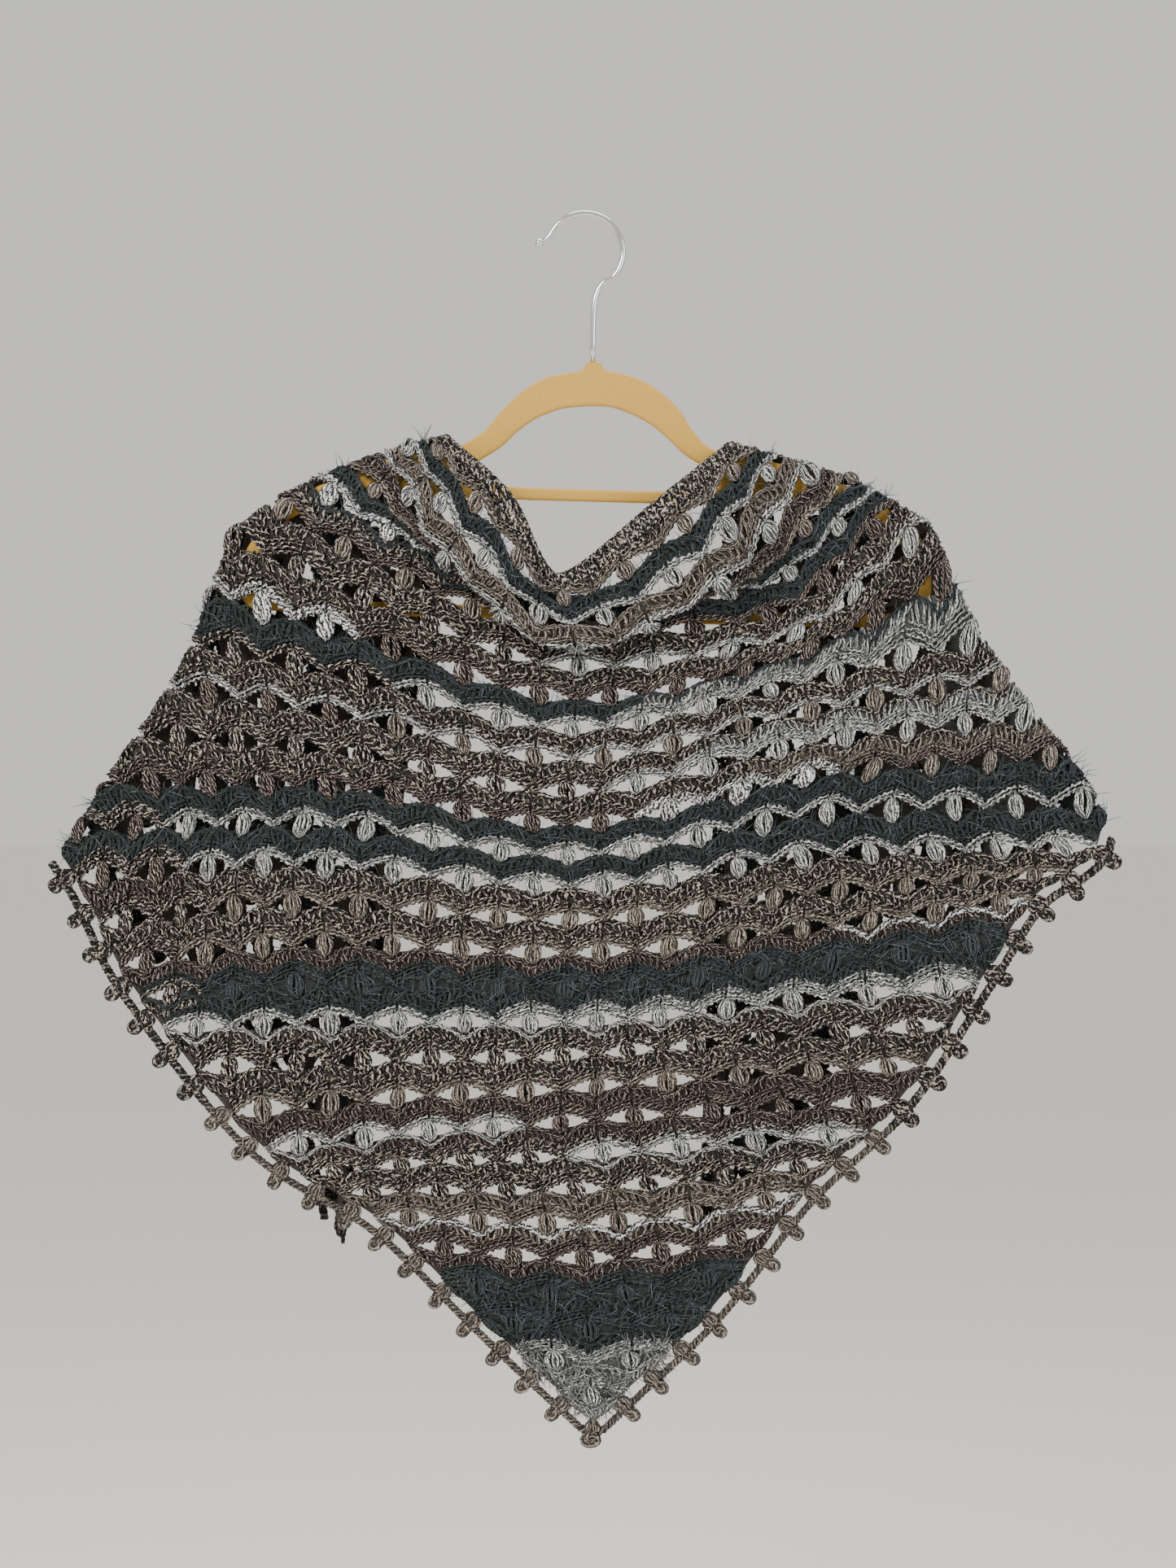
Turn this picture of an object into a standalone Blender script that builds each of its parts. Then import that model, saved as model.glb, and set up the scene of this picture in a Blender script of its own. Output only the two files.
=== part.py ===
"""A crocheted triangle shawl draped over a slim hanger.

Metres, +Z up, the front faces -Y. The origin is the inside top of the hook, where a
rail or a peg holds it. Sizes below are in millimetres. The shawl is worked from its
bottom tip: row n has n puffs, so it grows half a repeat a side in every row. A place on
the cloth is (s, n): s repeats from the middle column, n rows up from the tip.
"""
import bmesh
import bpy
import numpy as np

MM = 0.001
REPEAT = 43.0
ROW = 20.4
FIRST_ROW = 0.45
LAST_PUFF_ROW = 29
TOP_ROW = 29.6
WALL = 3.0
SEAM = 0.3
NORMAL_STEP = 0.02
TINY = 1e-6

# The cloth's middle: rows up from the tip, then x and z half-way to the left fold, on
# the middle column, and half-way to the right fold.
MIDDLE_COLUMNS = ("row", "left_x", "left_z", "mid_x", "mid_z", "right_x", "right_z")
MIDDLE = np.array([
    (0.5, 1.6, -748, 4.2, -748, 8.3, -748),
    (3, -32.5, -693, 1.6, -697, 41.5, -693),
    (6, -66, -628, -2, -630, 67, -623),
    (9, -106.5, -573, -15.5, -567, 90, -559),
    (12, -137, -504, -13, -504, 108, -493),
    (14, -161, -455, -11, -461, 135, -446),
    (16, -180, -406, -9.5, -420, 156, -400),
    (18, -165, -357, -12, -381, 156, -349),
    (20, -142, -315, -9.5, -341, 134, -312),
    (22, -127, -269, -5.5, -303, 114, -281),
    (23, -118, -248, -4.5, -284, 119, -267),
    (30, -46, -180, -16.7, -227, 40.5, -187),
])

# The cloth's sides: up to row 16 its true edge, above that the line where it turns over
# the hanger's arm. s is counted in repeats from the middle column.
SIDE_COLUMNS = ("row", "left_s", "left_x", "left_z", "right_s", "right_x", "right_z")
SIDES = np.array([
    (0.5, 0.25, -1.4, -748, 0.25, 11.8, -748),
    (3, 1.5, -66, -687, 1.5, 78, -683),
    (6, 3, -131, -625, 3, 136, -611),
    (9, 4.5, -198, -584, 4.5, 194, -554),
    (12, 6, -262, -508, 6, 245, -480),
    (14, 7, -290, -469, 7, 278, -427),
    (16, 8, -317, -415, 8, 317, -395),
    (17, 8.0, -314, -384, 8.3, 319, -368),
    (18, 7.3, -299, -355, 7.9, 302, -339),
    (20, 6.2, -259.5, -295, 6.7, 265, -290),
    (21, 5.7, -245, -268, 6.3, 249, -265),
    (22, 5.35, -233, -236, 5.7, 229, -226),
    (23, 5.05, -219.7, -202, 5.4, 215.8, -195),
    (24, 4.75, -195.7, -180, 5.0, 194.4, -181.5),
    (26, 4.1, -147, -157, 4.5, 166, -166),
    (28, 3.6, -111.5, -145, 3.9, 124, -152),
    (30, 3.0, -86.6, -139.5, 3.2, 91.4, -144),
])

# How far from straight down each row hangs behind the fold, in degrees towards the middle.
BEHIND_COLUMNS = ("row", "left_lean", "right_lean")
BEHIND = np.array([
    (17, 8, 14),
    (20, 2, 9),
    (23, -2, 5.5),
    (26, -5.5, 3.5),
    (30, -7.5, 2),
])

# The turn over the arm, the belly of the front, and the soft waves.
HALF_GAP = 8.0
FOLD_RADIUS = 8.0
LAST_FREE_ROW = 16
FIRST_FOLDED_ROW = 17
EDGE_SLACK = 0.75
BELLY = 9.0
BELLY_FULL_ROW = 21
FRONT_WAVE = 2.2
FRONT_WAVE_LENGTH = 118.0
FRONT_WAVE_TURN = 0.6
FRONT_RAMP = 30.0
BACK_WAVE = 3.0
BACK_WAVE_ROWS = 4.0
BACK_WAVE_TURN = -2.3
BACK_WAVE_RAMP = 80.0
PLEAT_S = -5.8
PLEAT_STEP = 4.0
PLEAT_WIDTH = 0.12
PLEAT_ROWS = (11.5, 13.0, 18.5, 20.5)

# The cowl: rows 23 to 30 fold down and up again below the neck. Cloth distances above
# row 23 where it turns forward, heads down, rolls, and heads up, and how far it leans back.
COWL_FIRST_ROW = 23
COWL_LAST_ROW = 30
COWL_TURNS = (38.0, 53.0, 73.0, 102.0)
COWL_LEAN = 0.2
COWL_SHARPEST = 1.12
COWL_DEPTH = 27.0
COWL_FADE = (0.6, 0.95)
COWL_ROLL_ROWS = (25, 28)
COWL_ROLL_STEP = 0.25

# The lace: rows whose gaps are cut, and a gap's corners beside its puff and its valley.
OPEN_ROWS = (5, 6, 7, 8, 9, 10, 11, 12, 13, 14, 20, 21)
COLUMN = 0.25
GAP_FOOT = (-0.16, -0.10)
GAP_HEAD = (0.26, 0.06)
EDGE_MARGIN = 0.2
FOLD_MARGIN = 0.55
COLUMN_MARGIN = 0.12
TURN_MARGIN = 0.1
TURN_END_MARGIN = 0.03
WING_MARGIN = 0.15
PUFF_RAISE = 4.0
PUFF_SIDE = 0.2
TUCKED_ROWS = (24, 25, 26)
TUCKED_S = 3.5
PAST_FOLD = 0.4
FOLD_COLUMNS = (-0.28, -0.12, 0.0, 0.12, 0.28)
WING_ROWS = (17.5, *range(18, 30), TOP_ROW)
FAR_KEY = 100.0
WING_SEAM = 1.1

# The neck border and the picot edging.
BORDER_TOP_ROW = 30.12
BORDER_WALL = 4.0
EDGING_WALL = 4.0
PICOT_PITCH = 25.5
POST_HALF = 2.4
POST_FOOT = 0.7
CORD_INNER = 6.0
CORD_OUTER = 10.2
PICOT_OUTLINE = ((3.5, 10.2), (6.3, 17.0), (0.0, 23.5), (-6.3, 17.0), (-3.5, 10.2))
FRONT_EDGING_ROW = 16.75
WING_EDGING_ROWS = (17.75, 29.5)
TIP_TURN = 0.45
EDGE_LEAST_ROW = 0.3
EDGE_INSET = 0.98
EDGE_STEP = 0.05
EDGE_SAMPLES = 600

# The hanger: a flat moulding with an arch, two arms, a tie bar and a lower bar.
HANGER_THICKNESS = 5.0
HANGER_ROUNDING = 1.2
ARM_DEPTH = 12.0
ARM_CLEARANCE = 3.4
BORDER_CLEARANCE = 4.2
HOOK_WIRE = 3.7
HOOK_RADIUS = 24.0
HOOK_BALL = 5.6
HOOK_BEND = (-44.0, 141.0)
HOOK_BEND_STEP = 11.0


def follow(knots, values, at):
    """A smooth curve through the knots: cubic, its slope at each knot the harmonic mean
    of the two chords there, or nought where they turn. It runs on straight past its ends."""
    knots = np.broadcast_to(knots, at.shape + (knots.shape[-1],))
    values = np.broadcast_to(values, knots.shape)
    step = np.diff(knots, axis=-1)
    chord = np.diff(values, axis=-1) / step
    before, after = chord[..., :-1], chord[..., 1:]
    total = np.where(before * after > 0, before + after, 1.0)
    inner = np.where(before * after > 0, 2 * before * after / total, 0.0)
    slope = np.concatenate([chord[..., :1], inner, chord[..., -1:]], axis=-1)
    cell = (at[..., None] >= knots[..., 1:-1]).sum(-1)[..., None]
    x0 = np.take_along_axis(knots, cell, -1)[..., 0]
    h = np.take_along_axis(step, cell, -1)[..., 0]
    y0 = np.take_along_axis(values, cell, -1)[..., 0]
    y1 = np.take_along_axis(values, cell + 1, -1)[..., 0]
    m0 = np.take_along_axis(slope, cell, -1)[..., 0]
    m1 = np.take_along_axis(slope, cell + 1, -1)[..., 0]
    t = np.clip((at - x0) / h, 0, 1)
    curve = (y0 * (1 + 2 * t) * (1 - t) ** 2 + m0 * h * t * (1 - t) ** 2
             + y1 * t * t * (3 - 2 * t) + m1 * h * t * t * (t - 1))
    under = np.minimum(at - x0, 0)
    over = np.maximum(at - x0 - h, 0)
    return curve + m0 * under + m1 * over


def column(table, columns, name, n):
    """One named column of a table, read at rows n."""
    return follow(table[:, 0], table[:, columns.index(name)], n)


def ease(low, high, x):
    """0 below low, 1 above high, and a smooth step between."""
    t = np.clip((x - low) / (high - low), 0, 1)
    return t * t * (3 - 2 * t)


def cowl_tables(steps=143, angles=61):
    """How far up and forward a strip of cloth has come, for each turn angle and distance."""
    t = np.linspace(0, (COWL_LAST_ROW - COWL_FIRST_ROW) * ROW, steps)
    turn = (ease(COWL_TURNS[0], COWL_TURNS[1], t)
            - (1 + COWL_LEAN) * ease(COWL_TURNS[2], COWL_TURNS[3], t))
    angle = np.linspace(0, COWL_SHARPEST * np.pi, angles)[:, None]
    step = t[1] - t[0]
    up = np.cumsum(np.cos(angle * turn), axis=1) * step - step
    forward = np.cumsum(np.sin(angle * turn), axis=1) * step
    deepest = forward.max(axis=1, keepdims=True)
    return up, forward * COWL_DEPTH / np.maximum(deepest, COWL_DEPTH)


COWL_UP, COWL_FORWARD = cowl_tables()


def read_table(table, row, col):
    """A table read between its cells."""
    row = np.clip(row, 0, table.shape[0] - 1.001)
    col = np.clip(col, 0, table.shape[1] - 1.001)
    i, j = row.astype(int), col.astype(int)
    a, b = row - i, col - j
    return ((1 - a) * (1 - b) * table[i, j] + a * (1 - b) * table[i + 1, j]
            + (1 - a) * b * table[i, j + 1] + a * b * table[i + 1, j + 1])


def flat_front(s, n):
    """x and z of the front before its cowl is folded in."""
    left = -column(SIDES, SIDE_COLUMNS, "left_s", n)
    right = column(SIDES, SIDE_COLUMNS, "right_s", n)
    knots = np.stack([left, left / 2, 0 * n, right / 2, right], axis=-1)
    found = []
    for axis in ("x", "z"):
        values = np.stack([
            column(SIDES, SIDE_COLUMNS, "left_" + axis, n),
            column(MIDDLE, MIDDLE_COLUMNS, "left_" + axis, n),
            column(MIDDLE, MIDDLE_COLUMNS, "mid_" + axis, n),
            column(MIDDLE, MIDDLE_COLUMNS, "right_" + axis, n),
            column(SIDES, SIDE_COLUMNS, "right_" + axis, n)], axis=-1)
        found.append(follow(knots, values, s))
    return found


def fold_s(side, n):
    """Where the cloth turns to the back, in repeats from the middle column."""
    left = column(SIDES, SIDE_COLUMNS, "left_s", n)
    right = column(SIDES, SIDE_COLUMNS, "right_s", n)
    free = EDGE_SLACK * np.clip((FIRST_FOLDED_ROW - n) / (FIRST_FOLDED_ROW - LAST_FREE_ROW), 0, 2)
    return np.where(side < 0, left, right) + free


def drape(s, n):
    """The middle of the cloth's wall at (s, n), in millimetres."""
    side = np.where(s < 0, -1.0, 1.0)
    fold = fold_s(side, n)
    past = (np.abs(s) - fold) * REPEAT
    away = past ** 2 / np.sqrt(past ** 2 + FOLD_RADIUS ** 2)
    turn = past / np.sqrt(past ** 2 + FOLD_RADIUS ** 2)
    front_s = np.where(past < 0, side * (fold - away / REPEAT), side * fold)
    x, z = flat_front(front_s, n)

    # The wings hang from the fold line.
    behind = np.where(past > 0, away, 0.0)
    lean = np.radians(np.where(side < 0, column(BEHIND, BEHIND_COLUMNS, "left_lean", n),
                               column(BEHIND, BEHIND_COLUMNS, "right_lean", n)))
    x = x - side * np.sin(lean) * behind
    z = z - np.cos(lean) * behind
    hang = ease(0, BACK_WAVE_RAMP, behind)
    y = HALF_GAP * turn + BACK_WAVE * hang * np.sin(2 * np.pi * n / BACK_WAVE_ROWS + BACK_WAVE_TURN)

    # The front's belly, its soft waves and the pleat on the left.
    on_front = ease(0, FRONT_RAMP, np.where(past < 0, away, 0.0))
    share = np.clip(np.abs(front_s) / fold, 0, 1)
    y = y - BELLY * ease(0, BELLY_FULL_ROW, n) * (1 - share ** 2) * on_front
    y = y + FRONT_WAVE * on_front * np.sin(2 * np.pi * x / FRONT_WAVE_LENGTH + FRONT_WAVE_TURN)
    pleat = ease(PLEAT_ROWS[0], PLEAT_ROWS[1], n) * (1 - ease(PLEAT_ROWS[2], PLEAT_ROWS[3], n))
    y = y - PLEAT_STEP * pleat * on_front * np.tanh((front_s - PLEAT_S) / PLEAT_WIDTH)

    # The cowl's fold, as deep as the spare cloth between row 23 and the neck.
    low = flat_front(front_s, 0 * n + COWL_FIRST_ROW)
    high = flat_front(front_s, 0 * n + COWL_LAST_ROW)
    chord = np.hypot(high[0] - low[0], high[1] - low[1])
    length = (COWL_LAST_ROW - COWL_FIRST_ROW) * ROW
    angles = np.arange(COWL_UP.shape[0])
    angle = np.interp(-chord, -COWL_UP[:, -1], angles)
    distance = np.clip((n - COWL_FIRST_ROW) * ROW, 0, length)
    at = distance / length * (COWL_UP.shape[1] - 1)
    fade = 1 - ease(COWL_FADE[0], COWL_FADE[1], share)
    fade = np.where(n > COWL_FIRST_ROW, fade, 0.0)
    spare = (read_table(COWL_UP, angle, at) - chord * distance / length) * fade
    x = x + spare * (high[0] - low[0]) / chord
    z = z + spare * (high[1] - low[1]) / chord
    y = y - read_table(COWL_FORWARD, angle, at) * fade
    return np.stack([x, y, z], axis=-1)


def surface(s, n, out):
    """Points at (s, n), moved out along the cloth's normal by out millimetres."""
    s, n, out = (np.asarray(v, float) for v in (s, n, out))
    along = drape(s + NORMAL_STEP, n) - drape(s - NORMAL_STEP, n)
    up = drape(s, n + NORMAL_STEP) - drape(s, n - NORMAL_STEP)
    normal = np.cross(along, up)
    normal /= np.linalg.norm(normal, axis=-1, keepdims=True)
    return drape(s, n) + normal * out[..., None]


def material(name, colour, roughness, metallic=0.0):
    made = bpy.data.materials.new(name)
    made.use_nodes = True
    shader = made.node_tree.nodes["Principled BSDF"]
    shader.inputs["Base Color"].default_value = (*colour, 1)
    shader.inputs["Roughness"].default_value = roughness
    shader.inputs["Metallic"].default_value = metallic
    made.diffuse_color = (*colour, 1)
    return made


def add_object(name, mesh, collection, finish):
    made = bpy.data.objects.new(name, mesh)
    collection.objects.link(made)
    mesh.materials.append(finish)
    return made


def closed_mesh(name, points, faces):
    """A mesh in metres from points in millimetres, its faces turned outwards."""
    mesh = bpy.data.meshes.new(name)
    mesh.from_pydata([tuple(p * MM) for p in points], [], faces)
    shape = bmesh.new()
    shape.from_mesh(mesh)
    bmesh.ops.remove_doubles(shape, verts=shape.verts, dist=TINY)
    bmesh.ops.recalc_face_normals(shape, faces=shape.faces)
    if shape.calc_volume(signed=True) < 0:
        bmesh.ops.reverse_faces(shape, faces=shape.faces)
    shape.to_mesh(mesh)
    shape.free()
    return mesh


def line_keys(line):
    """What two lines are matched by: s, and past the turn over the arm the distance
    from the fold, so that the turn of one line meets the turn of the next."""
    keys = []
    for s, n in line:
        side = -1 if s < 0 else 1
        past = abs(s) - float(fold_s(np.array(side), np.array(float(n))))
        turned = n > FIRST_FOLDED_ROW - 0.5 and past > FOLD_COLUMNS[0] - TINY
        keys.append(side * (FAR_KEY + past) if turned else s)
    return keys


def zip_lines(lower, upper, is_gap):
    """Faces between two lines of (s, n) points, nearest columns first. Cells for which
    is_gap is true are left out and returned as holes."""
    faces, holes = [], []
    i = j = 0
    low_keys, up_keys = line_keys(lower), line_keys(upper)
    while i < len(lower) - 1 or j < len(upper) - 1:
        next_low = low_keys[i + 1] if i < len(lower) - 1 else np.inf
        next_up = up_keys[j + 1] if j < len(upper) - 1 else np.inf
        if abs(next_low - next_up) < TINY:
            cell = (lower[i], lower[i + 1], upper[j + 1], upper[j])
            if is_gap(cell):
                holes.append(cell)
            else:
                faces.append(cell)
            i, j = i + 1, j + 1
        elif next_low < next_up:
            faces.append((lower[i], lower[i + 1], upper[j]))
            i += 1
        else:
            faces.append((lower[i], upper[j + 1], upper[j]))
            j += 1
    return faces, holes


def puff_centres(n):
    return np.arange(n) - (n - 1) / 2


def keep_between(values, low, high, margin):
    return [v for v in values if low + margin < v < high - margin]


def side_limits(n, to_fold):
    """The s limits of the front at row n: its true edges, or just past the folds."""
    reach = n / 2
    limits = []
    for side in (-1, 1):
        fold = float(fold_s(np.array(side), np.array(float(n)))) + PAST_FOLD
        limits.append(side * (min(reach, fold) if to_fold else reach))
    return limits


def fold_places(n):
    """s of the extra columns that round the turn over the arm."""
    places = []
    for side in (-1, 1):
        fold = float(fold_s(np.array(side), np.array(float(n))))
        if n > FIRST_FOLDED_ROW - 0.5:
            places += [side * (fold + c) for c in FOLD_COLUMNS]
    return sorted(places)


def front_line(n, columns, heights=None):
    """One line across the front at row n, with the given columns, the turn's columns and
    the two ends. heights shifts single columns up or down in rows."""
    low, high = side_limits(n, True)
    fold = fold_places(n)
    inner = keep_between(columns, low, high, COLUMN_MARGIN)
    if fold:
        left = max(v for v in fold if v < 0)
        right = min(v for v in fold if v > 0)
        inner = keep_between(inner, left, right, TURN_MARGIN)
    places = sorted([low, high] + inner + keep_between(fold, low, high, TURN_END_MARGIN))
    shift = heights or {}
    return [(v, n + shift.get(round(v, 4), 0.0)) for v in places]


def half_columns(n, offset=0.0):
    """Columns on the puffs and the valleys of row n."""
    return [c + offset + k for c in puff_centres(n) for k in (-0.5, 0.0)] + [n / 2 + offset]


def open_line(n, corners):
    """A line of the lace under or over the gaps of row n, with its two corner heights."""
    columns, heights = [], {}
    middle = sum(corners) / 2
    for centre in puff_centres(n):
        for away in (-3, -1, 1, 3):
            place = centre + away * COLUMN / 2
            columns.append(place)
            height = corners[0] if abs(away) == 1 else corners[1]
            heights[round(place, 4)] = height - middle
    return front_line(n + middle, columns, heights)


def front_lines():
    """The front's lines from the tip to the neck, the outer ones and the plain inner ones."""
    outer, inner = [], []
    start = front_line(FIRST_ROW, [])
    outer.append(start)
    inner.append(start)
    for n in range(1, LAST_PUFF_ROW + 1):
        if n in OPEN_ROWS:
            for corners in (GAP_FOOT, GAP_HEAD):
                line = open_line(n, corners)
                outer.append(line)
                inner.append(line)
            continue
        cowl = COWL_ROLL_ROWS[0] <= n <= COWL_ROLL_ROWS[1]
        if cowl:
            for part in (-2 * COWL_ROLL_STEP, -COWL_ROLL_STEP):
                line = front_line(n + part, half_columns(n))
                outer.append(line)
                inner.append(line)
        elif n > 1 and n - 1 not in OPEN_ROWS:
            line = front_line(n - 0.5, half_columns(n))
            outer.append(line)
            if n == FIRST_FOLDED_ROW + 1:
                inner.append(line)
        sides = [c + k for c in puff_centres(n) for k in (-PUFF_SIDE, PUFF_SIDE)]
        outer.append(front_line(n, half_columns(n) + sides))
        inner.append(front_line(n, half_columns(n)))
        if cowl:
            line = front_line(n + COWL_ROLL_STEP, half_columns(n))
            outer.append(line)
            inner.append(line)
    top = front_line(TOP_ROW, half_columns(LAST_PUFF_ROW + 1))
    return outer + [top], inner + [top]


def puff_height(s, n):
    """How far the outer wall stands out at a puff's middle, or nought elsewhere."""
    row = round(n)
    if abs(n - row) > TINY or row in OPEN_ROWS or row > LAST_PUFF_ROW:
        return 0.0
    if row in TUCKED_ROWS and abs(s) < TUCKED_S:
        return 0.0
    low, high = side_limits(row, True)
    on_puff = abs((s + (row - 1) / 2) - round(s + (row - 1) / 2)) < TINY
    inside = low + FOLD_MARGIN < s < high - FOLD_MARGIN - PAST_FOLD
    return PUFF_RAISE if on_puff and inside else 0.0


def is_lace_gap(cell):
    """True for the cells left and right of a puff in the open rows."""
    n = round(sum(p[1] for p in cell) / 4)
    middle = sum(p[0] for p in cell) / 4
    width = cell[1][0] - cell[0][0]
    if n not in OPEN_ROWS or abs(width - COLUMN) > TINY:
        return False
    if abs(cell[0][1] - n) > 0.5 or abs(cell[3][1] - n) > 0.5:
        return False
    from_puff = abs(middle + (n - 1) / 2 - round(middle + (n - 1) / 2))
    low, high = side_limits(n, True)
    margin = EDGE_MARGIN if n <= LAST_FREE_ROW else FOLD_MARGIN + PAST_FOLD
    inside = low + margin < cell[0][0] and cell[1][0] < high - margin
    return abs(from_puff - COLUMN) < TINY and inside


def is_puff_cell(cell):
    """True for the cell of the lace that holds a puff, which gets a raised middle."""
    if len(cell) != 4:
        return False
    n = round(sum(p[1] for p in cell) / 4)
    middle = sum(p[0] for p in cell) / 4
    if n not in OPEN_ROWS or abs(cell[0][1] - n) > 0.5 or abs(cell[3][1] - n) > 0.5:
        return False
    return abs(middle + (n - 1) / 2 - round(middle + (n - 1) / 2)) < TINY


class Wall:
    """A wall of cloth: outer and inner skins over (s, n), joined round their edges."""

    def __init__(self, wall):
        self.wall = wall
        self.keys = {}
        self.places = []
        self.faces = []

    def point(self, s, n, skin, out=0.0):
        key = (round(s, 5), round(n, 5), skin)
        if key not in self.keys:
            self.keys[key] = len(self.places)
            self.places.append((s, n, skin * self.wall / 2 + out))
        return self.keys[key]

    def skin(self, lines, skin, is_gap, raised):
        """Faces of one skin. Returns the holes left in it."""
        holes = []
        for lower, upper in zip(lines, lines[1:]):
            cells, gaps = zip_lines(lower, upper, is_gap)
            holes += gaps
            for cell in cells:
                corners = [self.point(s, n, skin, puff_height(s, n) if raised else 0.0)
                           for s, n in cell]
                if raised and is_puff_cell(cell):
                    s = sum(p[0] for p in cell) / 4
                    n = sum(p[1] for p in cell) / 4
                    peak = self.point(s, n, skin, PUFF_RAISE)
                    self.faces += [(a, b, peak) for a, b in zip(corners, corners[1:] + corners[:1])]
                else:
                    self.faces.append(corners)
        return holes

    def join(self, outer, inner):
        """A strip between an outer and an inner edge, each a list of (s, n) points that
        start and end alike; the nearer next point goes first along the edge."""
        i = j = 0
        reach = [self.steps(line) for line in (outer, inner)]
        while i < len(outer) - 1 or j < len(inner) - 1:
            a = self.point(*outer[i], 1)
            b = self.point(*inner[j], -1)
            next_a = reach[0][i + 1] if i < len(outer) - 1 else np.inf
            next_b = reach[1][j + 1] if j < len(inner) - 1 else np.inf
            if next_a <= next_b:
                self.faces.append((a, self.point(*outer[i + 1], 1), b))
                i += 1
            else:
                self.faces.append((a, self.point(*inner[j + 1], -1), b))
                j += 1

    @staticmethod
    def steps(line):
        """Each point's share of the way along a line."""
        p = np.array(line) * (REPEAT, ROW)
        far = np.concatenate([[0], np.cumsum(np.hypot(*np.diff(p, axis=0).T))])
        return far / far[-1]

    def build(self, name, outer, inner, is_gap, raised):
        holes = self.skin(outer, 1, is_gap, raised)
        self.skin(inner, -1, is_gap, False)
        for cell in holes:
            ring = list(cell) + [cell[0]]
            for p, q in zip(ring, ring[1:]):
                self.join([p, q], [p, q])
        self.join(outer[0], inner[0])
        self.join(outer[-1], inner[-1])
        for end in (0, -1):
            self.join([line[end] for line in outer], [line[end] for line in inner])
        s, n, out = np.array(self.places).T
        return closed_mesh(name, surface(s, n, out), self.faces)


def no_gap(cell):
    return False


def wing_lines(side):
    """Lines of the part that hangs behind, from the fold's seam to the true edge."""
    lines = []
    seam = PAST_FOLD + WING_SEAM / REPEAT
    for n in WING_ROWS:
        start = float(fold_s(np.array(side), np.array(float(n)))) + seam
        reach = n / 2
        columns = keep_between(np.arange(0.0, TOP_ROW / 2, 0.5), start, reach, WING_MARGIN)
        lines.append([(side * v, n) for v in [start] + columns + [reach]])
    return [line if side > 0 else line[::-1] for line in lines]


def border_lines(cloth_line):
    """The border's two lines, its foot just above the cloth's last line."""
    rows = (TOP_ROW + SEAM / ROW, BORDER_TOP_ROW)
    return [[(s, n) for s, _ in cloth_line] for n in rows]


def edge_frames(way):
    """Points along the shawl's side edge, with its outward direction and normal. way is
    counted in rows, below nought on the left."""
    def edge(e):
        if np.abs(way).min() < FIRST_FOLDED_ROW:
            return drape(e / 2, np.maximum(np.abs(e), EDGE_LEAST_ROW))
        side = np.sign(way[0])
        rows = np.array(WING_ROWS)
        points = drape(side * rows / 2, rows)
        return np.stack([np.interp(np.abs(e), rows, points[:, k]) for k in range(3)], axis=-1)

    outward = []
    for shift in (-1, 1):
        e = np.where(np.abs(way) < TIP_TURN, shift * TIP_TURN, way)
        tangent = edge(e + EDGE_STEP) - edge(e - EDGE_STEP)
        row = np.maximum(np.abs(e), EDGE_LEAST_ROW)
        normal = surface(e / 2 * EDGE_INSET, row, 1 + 0 * e) - surface(e / 2 * EDGE_INSET, row, 0 * e)
        out = np.cross(tangent, normal)
        outward.append((out / np.linalg.norm(out, axis=-1, keepdims=True), normal))
    t = np.clip((way + TIP_TURN) / (2 * TIP_TURN), 0, 1)[:, None]
    out = outward[0][0] * (1 - t) + outward[1][0] * t
    out /= np.linalg.norm(out, axis=-1, keepdims=True)
    normal = outward[0][1] * (1 - t) + outward[1][1] * t
    normal -= out * (normal * out).sum(-1, keepdims=True)
    normal /= np.linalg.norm(normal, axis=-1, keepdims=True)
    return edge(way), out, normal


def edging_mesh(name, low, high, offset):
    """A cord outside the edge, with a post to the cloth and a picot at every pitch. One
    flat period's patches are laid along the edge and given their thickness."""
    way = np.linspace(low, high, EDGE_SAMPLES)
    base, out, normal = edge_frames(way)
    cord = base + out * CORD_INNER
    length = np.concatenate([[0], np.cumsum(np.linalg.norm(np.diff(cord, axis=0), axis=1))])
    zero = np.interp(offset, way, length)
    pitch_low = int(np.ceil((length[0] - zero) / PICOT_PITCH + 0.5))
    pitch_high = int(np.floor((length[-1] - zero) / PICOT_PITCH - 0.5))
    half = PICOT_PITCH / 2
    outline = [(-half, CORD_INNER), (-POST_HALF, CORD_INNER), (-POST_HALF, POST_FOOT),
               (POST_HALF, POST_FOOT), (POST_HALF, CORD_INNER), (half, CORD_INNER),
               (half, CORD_OUTER)] + list(PICOT_OUTLINE) + [(-half, CORD_OUTER)]
    flat = ((1, 2, 3, 4), (0, 1, 11, 12), (1, 4, 7, 11), (4, 5, 6, 7), (7, 8, 10, 11), (8, 9, 10))
    points, faces = [], []

    def place(along, reach, skin):
        at = np.interp(along, length, way)
        spot, outward, up = (np.array([np.interp(at, way, v[:, k]) for k in range(3)])
                             for v in (base, out, normal))
        points.append(spot + outward * reach + up * skin * EDGING_WALL / 2)
        return len(points) - 1

    for pitch in range(pitch_low, pitch_high + 1):
        middle = zero + pitch * PICOT_PITCH
        front = [place(middle + x, y, 1) for x, y in outline]
        back = [place(middle + x, y, -1) for x, y in outline]
        for side in (front, back):
            faces += [tuple(side[k] for k in patch) for patch in flat]
        count = len(outline)
        for k in range(count):
            shared = outline[k][0] == outline[(k + 1) % count][0]
            joint = shared and abs(outline[k][0]) == PICOT_PITCH / 2
            first = pitch == pitch_low and outline[k][0] < 0
            last = pitch == pitch_high and outline[k][0] > 0
            if not joint or first or last:
                nxt = (k + 1) % count
                faces.append((front[k], front[nxt], back[nxt], back[k]))
    return closed_mesh(name, points, faces)


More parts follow.
